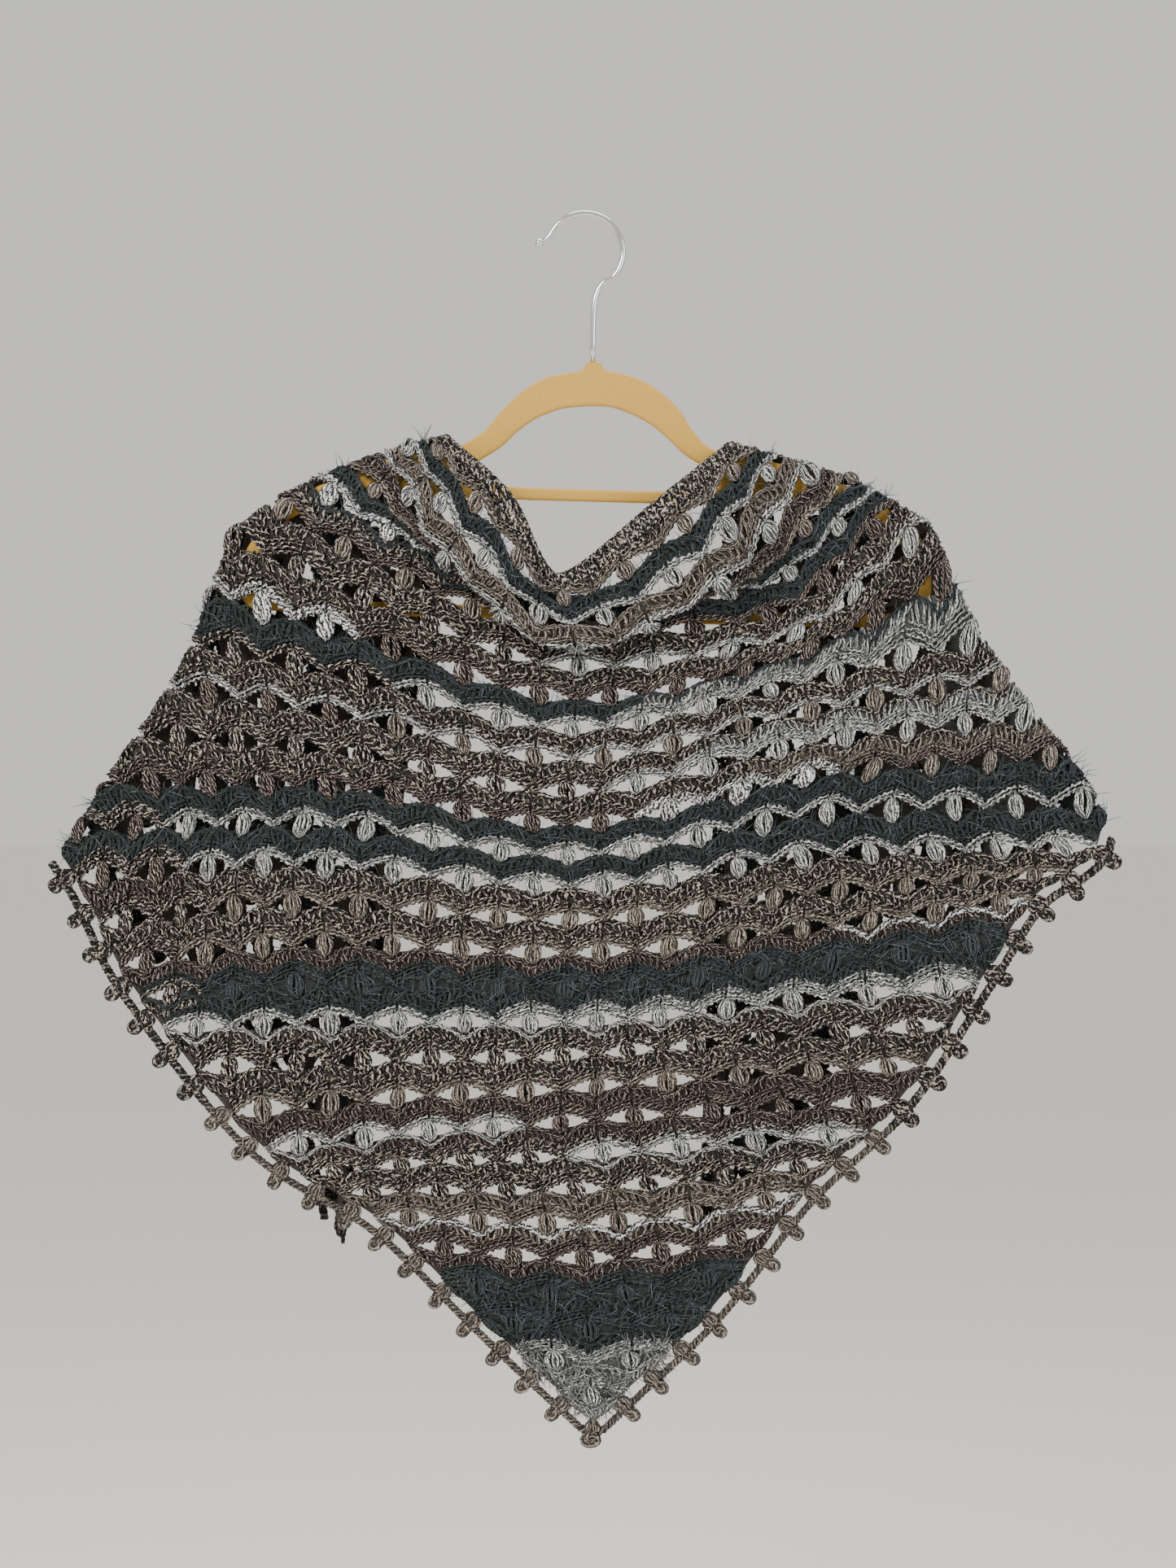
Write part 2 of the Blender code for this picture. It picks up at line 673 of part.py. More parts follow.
def flat_outline(name, outlines, finish, collection):
    """A flat moulding in the hanger's plane, its first outline filled round the others."""
    curve = bpy.data.curves.new(name, "CURVE")
    curve.dimensions = "2D"
    curve.fill_mode = "BOTH"
    curve.extrude = (HANGER_THICKNESS / 2 - HANGER_ROUNDING) * MM
    curve.bevel_depth = HANGER_ROUNDING * MM
    curve.bevel_resolution = 1
    curve.offset = -HANGER_ROUNDING * MM
    for outline in outlines:
        spline = curve.splines.new("POLY")
        spline.points.add(len(outline) - 1)
        for point, (x, z) in zip(spline.points, outline):
            point.co = (x * MM, z * MM, 0, 1)
        spline.use_cyclic_u = True
    made = bpy.data.objects.new(name, curve)
    made.rotation_euler = (np.pi / 2, 0, 0)
    collection.objects.link(made)
    curve.materials.append(finish)
    return made


def arm_top(side):
    """The arm's upper edge: the fold line of the cloth, moved down by the clearance."""
    n = np.array([30.2, 29.2, 28.0, 27.0, 26.0, 25.0, 24.0, 23.0])
    fold = drape(side * fold_s(np.full(n.shape, side), n), n)[:, [0, 2]]
    along = np.gradient(fold, axis=0)
    down = np.stack([along[:, 1], -along[:, 0]], axis=-1) * side
    down /= np.linalg.norm(down, axis=1, keepdims=True)
    clearance = np.where(n > TOP_ROW, BORDER_CLEARANCE, ARM_CLEARANCE)
    return fold + down * clearance[:, None]


def hanger_outlines():
    """The hanger's outer outline and its two windows, as (x, z) in millimetres."""
    right_arm, left_arm = arm_top(1), arm_top(-1)
    boss_left, boss_right = (1.0, -91.4), (9.8, -91.4)
    arch_right = [(12.1, -96.8), (22.0, -98.2), (31.5, -101.0), (40.9, -105.3), (53.7, -115.0),
                  (60.8, -123.2), (66.4, -132.9), (73.5, -141.5), (81.0, -147.0)]
    arch_left = [(-80.0, -145.0), (-72.8, -141.0), (-63.6, -135.5), (-57.5, -128.3), (-49.4, -118.6),
                 (-36.6, -107.4), (-24.9, -101.2), (-12.0, -98.4), (-1.4, -96.8)]
    right_end = [(214.5, -206.0), (217.0, -215.0), (217.5, -240.0), (214.5, -253.0),
                 (206.0, -259.5)]
    left_end = [(-206.0, -248.2), (-214.5, -242.0), (-217.0, -232.0), (-216.5, -219.0),
                (-213.5, -210.0)]
    outer = ([boss_left, boss_right] + arch_right + [tuple(p) for p in right_arm[:-1]]
             + right_end + left_end + [tuple(p) for p in left_arm[:-1][::-1]] + arch_left)
    arch_window = [(-60.1, -149.7), (-51.9, -144.6), (-42.2, -134.9), (-30.7, -126.7),
                   (-15.4, -120.6), (1.0, -119.1), (16.2, -119.3), (30.2, -124.4),
                   (42.9, -131.3), (53.7, -141.0), (61.8, -149.2), (72.5, -156.0),
                   (84.0, -162.0), (84.0, -173.7), (-72.0, -169.3), (-72.0, -157.0)]
    lower_window = [(-90.0, -176.5), (94.0, -181.5)]
    lower_window += [tuple(p + (0, -ARM_DEPTH)) for p in right_arm[4:-1]]
    lower_window += [(204.0, -215.0), (208.0, -224.0), (208.0, -240.0), (202.0, -251.5),
                     (-201.0, -240.0), (-207.0, -234.0), (-207.5, -226.0), (-204.0, -217.0)]
    lower_window += [tuple(p + (0, -ARM_DEPTH)) for p in left_arm[4:-1][::-1]]
    return [outer, arch_window, lower_window]


def hook_points():
    """The wire's middle line: up out of the boss, round the hook, and out to its ball."""
    centre_z = HOOK_WIRE / 2 - HOOK_RADIUS
    stem = [(4.9, -91.1), (5.1, -72.0), (5.4, -60.0), (6.2, -52.0), (8.6, -45.5), (12.2, -41.0)]
    bend = np.radians(np.arange(*HOOK_BEND, HOOK_BEND_STEP))
    arc = [(HOOK_RADIUS * np.cos(a), centre_z + HOOK_RADIUS * np.sin(a)) for a in bend]
    tail = [(-20.9, -10.4), (-22.9, -13.6), (-25.6, -15.9), (-28.6, -16.9)]
    return stem + arc + tail


def wire(name, points, finish, collection):
    """The hook: a wire bent in the hanger's plane, with a ball on its open end."""
    curve = bpy.data.curves.new(name + "_line", "CURVE")
    curve.dimensions = "3D"
    curve.bevel_depth = HOOK_WIRE / 2 * MM
    curve.bevel_resolution = 2
    curve.use_fill_caps = True
    spline = curve.splines.new("POLY")
    spline.points.add(len(points) - 1)
    for point, (x, z) in zip(spline.points, points):
        point.co = (x * MM, 0, z * MM, 1)
    line = bpy.data.objects.new(name + "_line", curve)
    collection.objects.link(line)
    bpy.context.view_layer.update()
    bent = line.evaluated_get(bpy.context.evaluated_depsgraph_get())
    mesh = bpy.data.meshes.new_from_object(bent)
    bpy.data.objects.remove(line)
    shape = bmesh.new()
    shape.from_mesh(mesh)
    bmesh.ops.remove_doubles(shape, verts=shape.verts, dist=TINY)
    shape.to_mesh(mesh)
    shape.free()
    made = add_object(name, mesh, collection, finish)
    ball = bpy.data.meshes.new(name + "_ball")
    shape = bmesh.new()
    bmesh.ops.create_uvsphere(shape, u_segments=12, v_segments=8, radius=HOOK_BALL / 2 * MM)
    shape.to_mesh(ball)
    shape.free()
    end = bpy.data.objects.new(name + "_ball", ball)
    x, z = points[-1]
    end.location = (x * MM, 0, z * MM)
    end.hide_render = True
    end.display_type = "WIRE"
    cutters.objects.link(end)
    union = made.modifiers.new("ball end", "BOOLEAN")
    union.operation = "UNION"
    union.solver = "EXACT"
    union.object = end
    mesh.shade_smooth()
    return made


for old in list(bpy.data.objects):
    bpy.data.objects.remove(old)

parts = bpy.data.collections.new("Crocheted shawl on a hanger")
cutters = bpy.data.collections.new("Cutters")
bpy.context.scene.collection.children.link(parts)
bpy.context.scene.collection.children.link(cutters)

chrome = material("polished wire", (0.62, 0.62, 0.64), 0.2, 1.0)
velvet = material("mustard flock", (0.48, 0.32, 0.1), 0.9)
yarn = material("mixed grey yarn", (0.2, 0.19, 0.18), 0.9)
marl = material("black and beige marl", (0.1, 0.09, 0.08), 0.9)
taupe = material("taupe yarn", (0.22, 0.19, 0.17), 0.9)

wire("hook_wire", hook_points(), chrome, parts)
flat_outline("hanger_body", hanger_outlines(), velvet, parts)

outer_lines, inner_lines = front_lines()
front = Wall(WALL).build("front_drape", outer_lines, inner_lines, is_lace_gap, True)
add_object("front_drape", front, parts, yarn)
for side, label in ((-1, "left"), (1, "right")):
    lines = wing_lines(side)
    wing = Wall(WALL).build(label + "_wing", lines, lines, no_gap, False)
    add_object(label + "_wing", wing, parts, yarn)

cloth_tops = {"neck": outer_lines[-1], "left_wing": wing_lines(-1)[-1],
              "right_wing": wing_lines(1)[-1]}
for label, cloth_line in cloth_tops.items():
    strip = border_lines(cloth_line)
    made = Wall(BORDER_WALL).build(label + "_border", strip, strip, no_gap, False)
    add_object(label + "_border", made, parts, marl)

first, last = WING_EDGING_ROWS
edgings = (("front_edging", -FRONT_EDGING_ROW, FRONT_EDGING_ROW, 0.0, taupe),
           ("left_wing_edging", -last, -first, -first, marl),
           ("right_wing_edging", first, last, first, marl))
for name, low, high, offset, finish in edgings:
    add_object(name, edging_mesh(name, low, high, offset), parts, finish)
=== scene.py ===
import math

import bmesh
import bpy
import numpy as np
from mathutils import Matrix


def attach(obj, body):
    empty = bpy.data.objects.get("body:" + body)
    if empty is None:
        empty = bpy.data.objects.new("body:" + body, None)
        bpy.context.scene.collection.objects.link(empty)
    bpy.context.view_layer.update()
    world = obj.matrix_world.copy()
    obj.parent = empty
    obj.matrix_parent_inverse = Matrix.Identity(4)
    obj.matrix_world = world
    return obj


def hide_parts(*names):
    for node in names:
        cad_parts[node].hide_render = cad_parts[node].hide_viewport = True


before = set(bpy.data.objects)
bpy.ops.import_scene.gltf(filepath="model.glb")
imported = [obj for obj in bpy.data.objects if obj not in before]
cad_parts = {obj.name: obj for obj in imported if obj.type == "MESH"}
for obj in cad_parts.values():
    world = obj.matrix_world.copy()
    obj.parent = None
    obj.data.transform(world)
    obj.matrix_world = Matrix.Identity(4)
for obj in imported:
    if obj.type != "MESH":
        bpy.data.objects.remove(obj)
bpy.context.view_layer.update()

MM = 0.001
rng = np.random.default_rng(7)

# The shawl's body. It is one triangle crocheted upwards from its bottom tip, draped with
# its long edge round the neck side of a hanger and its two ends hanging behind. Row n has
# n puffs, and a place on it is (s, n): s repeats from the middle column, n rows up.
REPEAT = 43.0
ROW = 20.4
LAST_ROW = 29
TOP_ROW = 29.6

MIDDLE_COLUMNS = ("row", "left_x", "left_z", "mid_x", "mid_z", "right_x", "right_z")
MIDDLE = np.array([
    (0.5, 1.6, -748, 4.2, -748, 8.3, -748),
    (3, -32.5, -693, 1.6, -697, 41.5, -693),
    (6, -66, -628, -2, -630, 67, -623),
    (9, -106.5, -573, -15.5, -567, 90, -559),
    (12, -137, -504, -13, -504, 108, -493),
    (14, -161, -455, -11, -461, 135, -446),
    (16, -180, -406, -9.5, -420, 156, -400),
    (18, -165, -357, -12, -381, 156, -349),
    (20, -142, -315, -9.5, -341, 134, -312),
    (22, -127, -269, -5.5, -303, 114, -281),
    (23, -118, -248, -4.5, -284, 119, -267),
    (30, -46, -180, -16.7, -227, 40.5, -187),
])
SIDE_COLUMNS = ("row", "left_s", "left_x", "left_z", "right_s", "right_x", "right_z")
SIDES = np.array([
    (0.5, 0.25, -1.4, -748, 0.25, 11.8, -748),
    (3, 1.5, -66, -687, 1.5, 78, -683),
    (6, 3, -131, -625, 3, 136, -611),
    (9, 4.5, -198, -584, 4.5, 194, -554),
    (12, 6, -262, -508, 6, 245, -480),
    (14, 7, -290, -469, 7, 278, -427),
    (16, 8, -317, -415, 8, 317, -395),
    (17, 8.0, -314, -384, 8.3, 319, -368),
    (18, 7.3, -299, -355, 7.9, 302, -339),
    (20, 6.2, -259.5, -295, 6.7, 265, -290),
    (21, 5.7, -245, -268, 6.3, 249, -265),
    (22, 5.35, -233, -236, 5.7, 229, -226),
    (23, 5.05, -219.7, -202, 5.4, 215.8, -195),
    (24, 4.75, -195.7, -180, 5.0, 194.4, -181.5),
    (26, 4.1, -147, -157, 4.5, 166, -166),
    (28, 3.6, -111.5, -145, 3.9, 124, -152),
    (30, 3.0, -86.6, -139.5, 3.2, 91.4, -144),
])
BEHIND_COLUMNS = ("row", "left_lean", "right_lean")
BEHIND = np.array([
    (17, 8, 14),
    (20, 2, 9),
    (23, -2, 5.5),
    (26, -5.5, 3.5),
    (30, -7.5, 2),
])
HALF_GAP = 8.0
FOLD_RADIUS = 8.0
LAST_FREE_ROW = 16
FIRST_FOLDED_ROW = 17
EDGE_SLACK = 0.75
BELLY = 9.0
BELLY_FULL_ROW = 21
FRONT_WAVE = 2.2
FRONT_WAVE_LENGTH = 118.0
FRONT_WAVE_TURN = 0.6
FRONT_RAMP = 30.0
BACK_WAVE = 3.0
BACK_WAVE_ROWS = 4.0
BACK_WAVE_TURN = -2.3
BACK_WAVE_RAMP = 80.0
PLEAT_S = -5.8
PLEAT_STEP = 4.0
PLEAT_WIDTH = 0.12
PLEAT_ROWS = (11.5, 13.0, 18.5, 20.5)
COWL_FIRST_ROW = 23
COWL_LAST_ROW = 30
COWL_TURNS = (38.0, 53.0, 73.0, 102.0)
COWL_LEAN = 0.2
COWL_SHARPEST = 1.12
COWL_DEPTH = 27.0
COWL_FADE = (0.6, 0.95)


def follow(knots, values, at):
    """A smooth curve through the knots: cubic, its slope at each knot the harmonic mean
    of the two chords there, or nought where they turn. It runs on straight past its ends."""
    knots = np.broadcast_to(knots, at.shape + (knots.shape[-1],))
    values = np.broadcast_to(values, knots.shape)
    step = np.diff(knots, axis=-1)
    chord = np.diff(values, axis=-1) / step
    before, after = chord[..., :-1], chord[..., 1:]
    total = np.where(before * after > 0, before + after, 1.0)
    inner = np.where(before * after > 0, 2 * before * after / total, 0.0)
    slope = np.concatenate([chord[..., :1], inner, chord[..., -1:]], axis=-1)
    cell = (at[..., None] >= knots[..., 1:-1]).sum(-1)[..., None]
    x0 = np.take_along_axis(knots, cell, -1)[..., 0]
    h = np.take_along_axis(step, cell, -1)[..., 0]
    y0 = np.take_along_axis(values, cell, -1)[..., 0]
    y1 = np.take_along_axis(values, cell + 1, -1)[..., 0]
    m0 = np.take_along_axis(slope, cell, -1)[..., 0]
    m1 = np.take_along_axis(slope, cell + 1, -1)[..., 0]
    t = np.clip((at - x0) / h, 0, 1)
    curve = (y0 * (1 + 2 * t) * (1 - t) ** 2 + m0 * h * t * (1 - t) ** 2
             + y1 * t * t * (3 - 2 * t) + m1 * h * t * t * (t - 1))
    return curve + m0 * np.minimum(at - x0, 0) + m1 * np.maximum(at - x0 - h, 0)


def column(table, columns, name, n):
    """One named column of a table, read at rows n."""
    return follow(table[:, 0], table[:, columns.index(name)], n)


def ease(low, high, x):
    """0 below low, 1 above high, and a smooth step between."""
    t = np.clip((x - low) / (high - low), 0, 1)
    return t * t * (3 - 2 * t)


def cowl_tables(steps=143, angles=61):
    """How far up and forward a strip of cloth has come, for each turn angle and distance."""
    t = np.linspace(0, (COWL_LAST_ROW - COWL_FIRST_ROW) * ROW, steps)
    turn = (ease(COWL_TURNS[0], COWL_TURNS[1], t)
            - (1 + COWL_LEAN) * ease(COWL_TURNS[2], COWL_TURNS[3], t))
    angle = np.linspace(0, COWL_SHARPEST * np.pi, angles)[:, None]
    step = t[1] - t[0]
    up = np.cumsum(np.cos(angle * turn), axis=1) * step - step
    forward = np.cumsum(np.sin(angle * turn), axis=1) * step
    deepest = forward.max(axis=1, keepdims=True)
    return up, forward * COWL_DEPTH / np.maximum(deepest, COWL_DEPTH)


COWL_UP, COWL_FORWARD = cowl_tables()


def read_table(table, row, col):
    """A table of numbers or of points, read between its cells."""
    row = np.clip(row, 0, table.shape[0] - 1.001)
    col = np.clip(col, 0, table.shape[1] - 1.001)
    i, j = row.astype(int), col.astype(int)
    a, b = row - i, col - j
    if table.ndim > 2:
        a, b = a[..., None], b[..., None]
    return ((1 - a) * (1 - b) * table[i, j] + a * (1 - b) * table[i + 1, j]
            + (1 - a) * b * table[i, j + 1] + a * b * table[i + 1, j + 1])


def flat_front(s, n):
    """x and z of the front before its cowl is folded in."""
    left = -column(SIDES, SIDE_COLUMNS, "left_s", n)
    right = column(SIDES, SIDE_COLUMNS, "right_s", n)
    knots = np.stack([left, left / 2, 0 * n, right / 2, right], axis=-1)
    found = []
    for axis in ("x", "z"):
        inner = [column(MIDDLE, MIDDLE_COLUMNS, at + axis, n) for at in ("left_", "mid_", "right_")]
        ends = [column(SIDES, SIDE_COLUMNS, at + axis, n) for at in ("left_", "right_")]
        values = np.stack([ends[0], *inner, ends[1]], axis=-1)
        found.append(follow(knots, values, s))
    return found


def fold_s(side, n):
    """Where the cloth turns to the back, in repeats from the middle column."""
    left = column(SIDES, SIDE_COLUMNS, "left_s", n)
    right = column(SIDES, SIDE_COLUMNS, "right_s", n)
    free = EDGE_SLACK * np.clip((FIRST_FOLDED_ROW - n) / (FIRST_FOLDED_ROW - LAST_FREE_ROW), 0, 2)
    return np.where(side < 0, left, right) + free


def drape(s, n):
    """The middle of the cloth's wall at (s, n), in millimetres: the front follows its
    table, turns over the arm at the fold, and the ends hang down behind."""
    side = np.where(s < 0, -1.0, 1.0)
    fold = fold_s(side, n)
    past = (np.abs(s) - fold) * REPEAT
    away = past ** 2 / np.sqrt(past ** 2 + FOLD_RADIUS ** 2)
    turn = past / np.sqrt(past ** 2 + FOLD_RADIUS ** 2)
    front_s = np.where(past < 0, side * (fold - away / REPEAT), side * fold)
    x, z = flat_front(front_s, n)
    behind = np.where(past > 0, away, 0.0)
    lean = np.radians(np.where(side < 0, column(BEHIND, BEHIND_COLUMNS, "left_lean", n),
                               column(BEHIND, BEHIND_COLUMNS, "right_lean", n)))
    x = x - side * np.sin(lean) * behind
    z = z - np.cos(lean) * behind
    hang = ease(0, BACK_WAVE_RAMP, behind)
    y = HALF_GAP * turn + BACK_WAVE * hang * np.sin(2 * np.pi * n / BACK_WAVE_ROWS + BACK_WAVE_TURN)
    on_front = ease(0, FRONT_RAMP, np.where(past < 0, away, 0.0))
    share = np.clip(np.abs(front_s) / fold, 0, 1)
    y = y - BELLY * ease(0, BELLY_FULL_ROW, n) * (1 - share ** 2) * on_front
    wave = np.sin(2 * np.pi * x / FRONT_WAVE_LENGTH + FRONT_WAVE_TURN)
    y = y + FRONT_WAVE * on_front * wave
    pleat = ease(PLEAT_ROWS[0], PLEAT_ROWS[1], n) * (1 - ease(PLEAT_ROWS[2], PLEAT_ROWS[3], n))
    y = y - PLEAT_STEP * pleat * on_front * np.tanh((front_s - PLEAT_S) / PLEAT_WIDTH)
    low = flat_front(front_s, 0 * n + COWL_FIRST_ROW)
    high = flat_front(front_s, 0 * n + COWL_LAST_ROW)
    chord = np.hypot(high[0] - low[0], high[1] - low[1])
    length = (COWL_LAST_ROW - COWL_FIRST_ROW) * ROW
    angle = np.interp(-chord, -COWL_UP[:, -1], np.arange(COWL_UP.shape[0]))
    distance = np.clip((n - COWL_FIRST_ROW) * ROW, 0, length)
    at = distance / length * (COWL_UP.shape[1] - 1)
    fade = np.where(n > COWL_FIRST_ROW, 1 - ease(COWL_FADE[0], COWL_FADE[1], share), 0.0)
    spare = (read_table(COWL_UP, angle, at) - chord * distance / length) * fade
    x = x + spare * (high[0] - low[0]) / chord
    z = z + spare * (high[1] - low[1]) / chord
    y = y - read_table(COWL_FORWARD, angle, at) * fade
    return np.stack([x, y, z], axis=-1)


def unit(v):
    return v / np.maximum(np.linalg.norm(v, axis=-1, keepdims=True), 1e-9)


def puff_offset(s, n):
    """How many repeats s lies from the nearest puff column of row n."""
    return (s + (n - 1) / 2 + 0.5) % 1.0 - 0.5


def add_object(name, data):
    """An object with this data, linked to the scene."""
    made = bpy.data.objects.new(name, data)
    bpy.context.scene.collection.objects.link(made)
    return made


def put_mesh(name, points, corners, starts, corner_uv, shade, material):
    """A mesh object from arrays: points in mm, face corners, each face's first corner, a
    UV for each corner and a shade for each point."""
    mesh = bpy.data.meshes.new(name)
    mesh.vertices.add(len(points))
    mesh.vertices.foreach_set("co", (points * MM).astype(np.float32).ravel())
    mesh.loops.add(len(corners))
    mesh.loops.foreach_set("vertex_index", corners.astype(np.int32))
    mesh.polygons.add(len(starts))
    mesh.polygons.foreach_set("loop_start", starts.astype(np.int32))
    mesh.update(calc_edges=True)
    layer = mesh.uv_layers.new(name="UVMap")
    layer.data.foreach_set("uv", corner_uv.astype(np.float32).ravel())
    tone = mesh.attributes.new("shade", "FLOAT", "POINT")
    tone.data.foreach_set("value", shade.astype(np.float32))
    mesh.shade_smooth()
    piece = add_object(name, mesh)
    mesh.materials.append(material)
    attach(piece, "root")
    return piece


def cloth_grid(step=1 / 16):
    """The cloth read once on a fine grid of (s, n): its points and its outward normals."""
    s = np.arange(-15.25, 15.25 + step, step)
    n = np.arange(0.2, 30.5 + step, step)
    points = drape(*np.meshgrid(s, n, indexing="ij"))
    along = np.gradient(points, axis=0)
    up = np.gradient(points, axis=1)
    return s, n, points, unit(np.cross(along, up))


GRID_S, GRID_N, GRID_POINTS, GRID_NORMALS = cloth_grid()


def on_cloth(s, n, out):
    """Points at (s, n), moved out along the cloth's normal by out millimetres."""
    step = GRID_S[1] - GRID_S[0]
    row, col = (s - GRID_S[0]) / step, (n - GRID_N[0]) / step
    points, normals = (read_table(table, row, col) for table in (GRID_POINTS, GRID_NORMALS))
    return points + unit(normals) * np.asarray(out)[..., None]


def tube_arrays(paths, radius, across, sides):
    """Tubes along paths (tubes, steps, 3): each step gets a ring of points round the path,
    the ring's first direction carried on from step to step, and both ends are closed."""
    count, steps = paths.shape[:2]
    tangent = unit(np.gradient(paths, axis=1))
    first = [unit(np.cross(tangent[:, 0], across))]
    for k in range(1, steps):
        carried = first[-1] - tangent[:, k] * (first[-1] * tangent[:, k]).sum(-1, keepdims=True)
        first.append(unit(carried))
    first = np.stack(first, axis=1)[:, :, None]
    second = np.cross(tangent, first[:, :, 0])[:, :, None]
    angle = (np.arange(sides) / sides * 2 * np.pi)[:, None]
    ring = first * np.cos(angle) + second * np.sin(angle)
    points = paths[:, :, None] + radius[:, :, None, None] * ring
    length = np.concatenate([np.zeros((count, 1)), np.cumsum(
        np.linalg.norm(np.diff(paths, axis=1), axis=-1), axis=1)], axis=1)
    t, k, i = np.meshgrid(np.arange(count), np.arange(steps - 1), np.arange(sides), indexing="ij")
    base = (t * steps + k) * sides
    after = (i + 1) % sides
    quads = np.stack([base + i, base + after, base + sides + after, base + sides + i], axis=-1)
    turn = np.stack([i, i + 1, i + 1, i], axis=-1) / sides
    way = np.stack([length[t, k], length[t, k], length[t, k + 1], length[t, k + 1]], axis=-1)
    tube = np.arange(count)[:, None] * steps * sides
    start_cap = tube + np.arange(sides)[::-1]
    end_cap = tube + (steps - 1) * sides + np.arange(sides)
    caps = np.concatenate([start_cap, end_cap], axis=0)
    cap_way = np.concatenate([length[:, :1], length[:, -1:]]).repeat(sides, axis=1)
    corners = np.concatenate([quads.ravel(), caps.ravel()])
    uv = np.stack([np.concatenate([turn.ravel(), 0 * cap_way.ravel()]),
                   np.concatenate([way.ravel(), cap_way.ravel()])], axis=-1)
    four, many = quads.size // 4, caps.shape[0]
    starts = np.concatenate([np.arange(four) * 4, quads.size + np.arange(many) * sides])
    return points.reshape(-1, 3), corners, starts, uv


# A strand is painted with shade on the side that faces into the cloth: its least share of
# light, and the distance in mm from the hanger's plane at which the cloth faces straight out.
PAINTED_CREASE_LIGHT = 0.26
FACING_DEPTH = 6.0


class Strands:
    """Tubes gathered by yarn, to be made into one piece for each yarn."""

    def __init__(self):
        self.batches = {}

    def add(self, yarn, paths, radius, sides, tone):
        """paths (tubes, steps, 3) in mm, radius (tubes, steps), tone (tubes,)."""
        self.batches.setdefault(yarn, []).append((paths, radius, sides, tone))

    def build(self, name, yarn, material):
        points, corners, starts, uv, shade = [], [], [], [], []
        total = face_total = 0
        for paths, radius, sides, tone in self.batches[yarn]:
            across = np.tile([0.13, -0.7, 0.7], (len(paths), 1))
            p, c, f, u = tube_arrays(paths, radius, across, sides)
            count, steps = paths.shape[:2]
            start = rng.uniform(0, 50, count)
            u[:-2 * count * sides, 1] += start.repeat((steps - 1) * sides * 4)
            u[-2 * count * sides:, 1] += np.tile(start.repeat(sides), 2)
            # Painted shade: each ring point is darkened the more it faces into the cloth, and this is
            # multiplied into the point's shade attribute.
            out = (p.reshape(count, steps, sides, 3) - paths[:, :, None])[..., 1] / radius[..., None]
            facing = 0.5 + 0.5 * out * np.clip(paths[:, :, None, 1] / FACING_DEPTH, -1, 1)
            light = PAINTED_CREASE_LIGHT + (1 - PAINTED_CREASE_LIGHT) * facing ** 2
            points.append(p)
            corners.append(c + total)
            starts.append(f + face_total)
            uv.append(u)
            shade.append((tone[:, None, None] * light).ravel())
            total += len(p)
            face_total += len(c)
        return put_mesh(name, np.concatenate(points), np.concatenate(corners),
                        np.concatenate(starts), np.concatenate(uv), np.concatenate(shade),
                        material)


# Yarns: the dark and light plies' colours in linear light, the share of bright flecks (partly
# the yarn's white filaments and glitter, partly painted highlight), how many pairs of plies lie
# round a strand, the length in mm of their full turn and the light plies' share, how many specks
# a metre and how strongly they break up the plies, and how rough the yarn is.
YARN_COLUMNS = ("name", "dark", "light", "fleck_and_highlight", "plies", "pitch", "share", "specks", "broken",
                "roughness")
YARNS = [
    ("coarse_marl", (0.002, 0.002, 0.002), (0.62, 0.52, 0.43), 0.30, 2, 6.4, 0.17, 1100, 0.8, 0.80),
    ("brown_marl", (0.010, 0.007, 0.007), (0.42, 0.325, 0.285), 0.25, 3, 4.4, 0.19, 1200, 0.8, 0.85),
    ("taupe_ribbon", (0.016, 0.012, 0.010), (0.42, 0.35, 0.285), 0.40, 3, 16.0, 0.42, 1100, 0.8, 0.50),
    ("light_grey", (0.040, 0.041, 0.043), (0.80, 0.81, 0.78), 0.8, 3, 14.0, 0.44, 900, 1.0, 0.42),
    ("mohair", (0.024, 0.030, 0.032), (0.078, 0.095, 0.100), 0.5, 5, 9.0, 0.50, 800, 1.6, 0.95),
    ("silver_glitter", (0.003, 0.003, 0.004), (0.95, 0.95, 0.96), 0.3, 3, 6.0, 0.50, 750, 3.5, 0.25),
]


def new_material(name):
    """A material with a bare shader: the material, its node tree and the shader."""
    made = bpy.data.materials.new(name)
    made.use_nodes = True
    tree = made.node_tree
    tree.nodes.clear()
    shader = tree.nodes.new("ShaderNodeBsdfPrincipled")
    output = tree.nodes.new("ShaderNodeOutputMaterial")
    tree.links.new(shader.outputs[0], output.inputs[0])
    return made, tree, shader


def calc(tree, operation, a, b=None):
    """A maths node: a and b are sockets or numbers."""
    node = tree.nodes.new("ShaderNodeMath")
    node.operation = operation
    for socket, value in zip(node.inputs, (a, b)):
        if isinstance(value, (int, float)):
            socket.default_value = value
        elif value is not None:
            tree.links.new(value, socket)
    return node.outputs[0]


def blend_colours(tree, factor, a, b, mode="MIX"):
    node = tree.nodes.new("ShaderNodeMix")
    node.data_type = "RGBA"
    node.blend_type = mode
    for socket, value in ((node.inputs[0], factor), (node.inputs[6], a), (node.inputs[7], b)):
        if isinstance(value, (int, float)):
            socket.default_value = value
        elif isinstance(value, tuple):
            socket.default_value = (*value, 1)
        else:
            tree.links.new(value, socket)
    return node.outputs[2]


def noise(tree, scale, detail=2.0):
    where = tree.nodes.new("ShaderNodeTexCoord")
    node = tree.nodes.new("ShaderNodeTexNoise")
    node.inputs["Scale"].default_value = scale
    node.inputs["Detail"].default_value = detail
    tree.links.new(where.outputs["Object"], node.inputs["Vector"])
    return node.outputs[0]


def map_range(tree, value, low, high, curve="LINEAR"):
    """0 below low, 1 above high, straight or smooth between."""
    node = tree.nodes.new("ShaderNodeMapRange")
    node.interpolation_type = curve
    node.inputs["From Min"].default_value = low
    node.inputs["From Max"].default_value = high
    tree.links.new(value, node.inputs["Value"])
    return node.outputs[0]


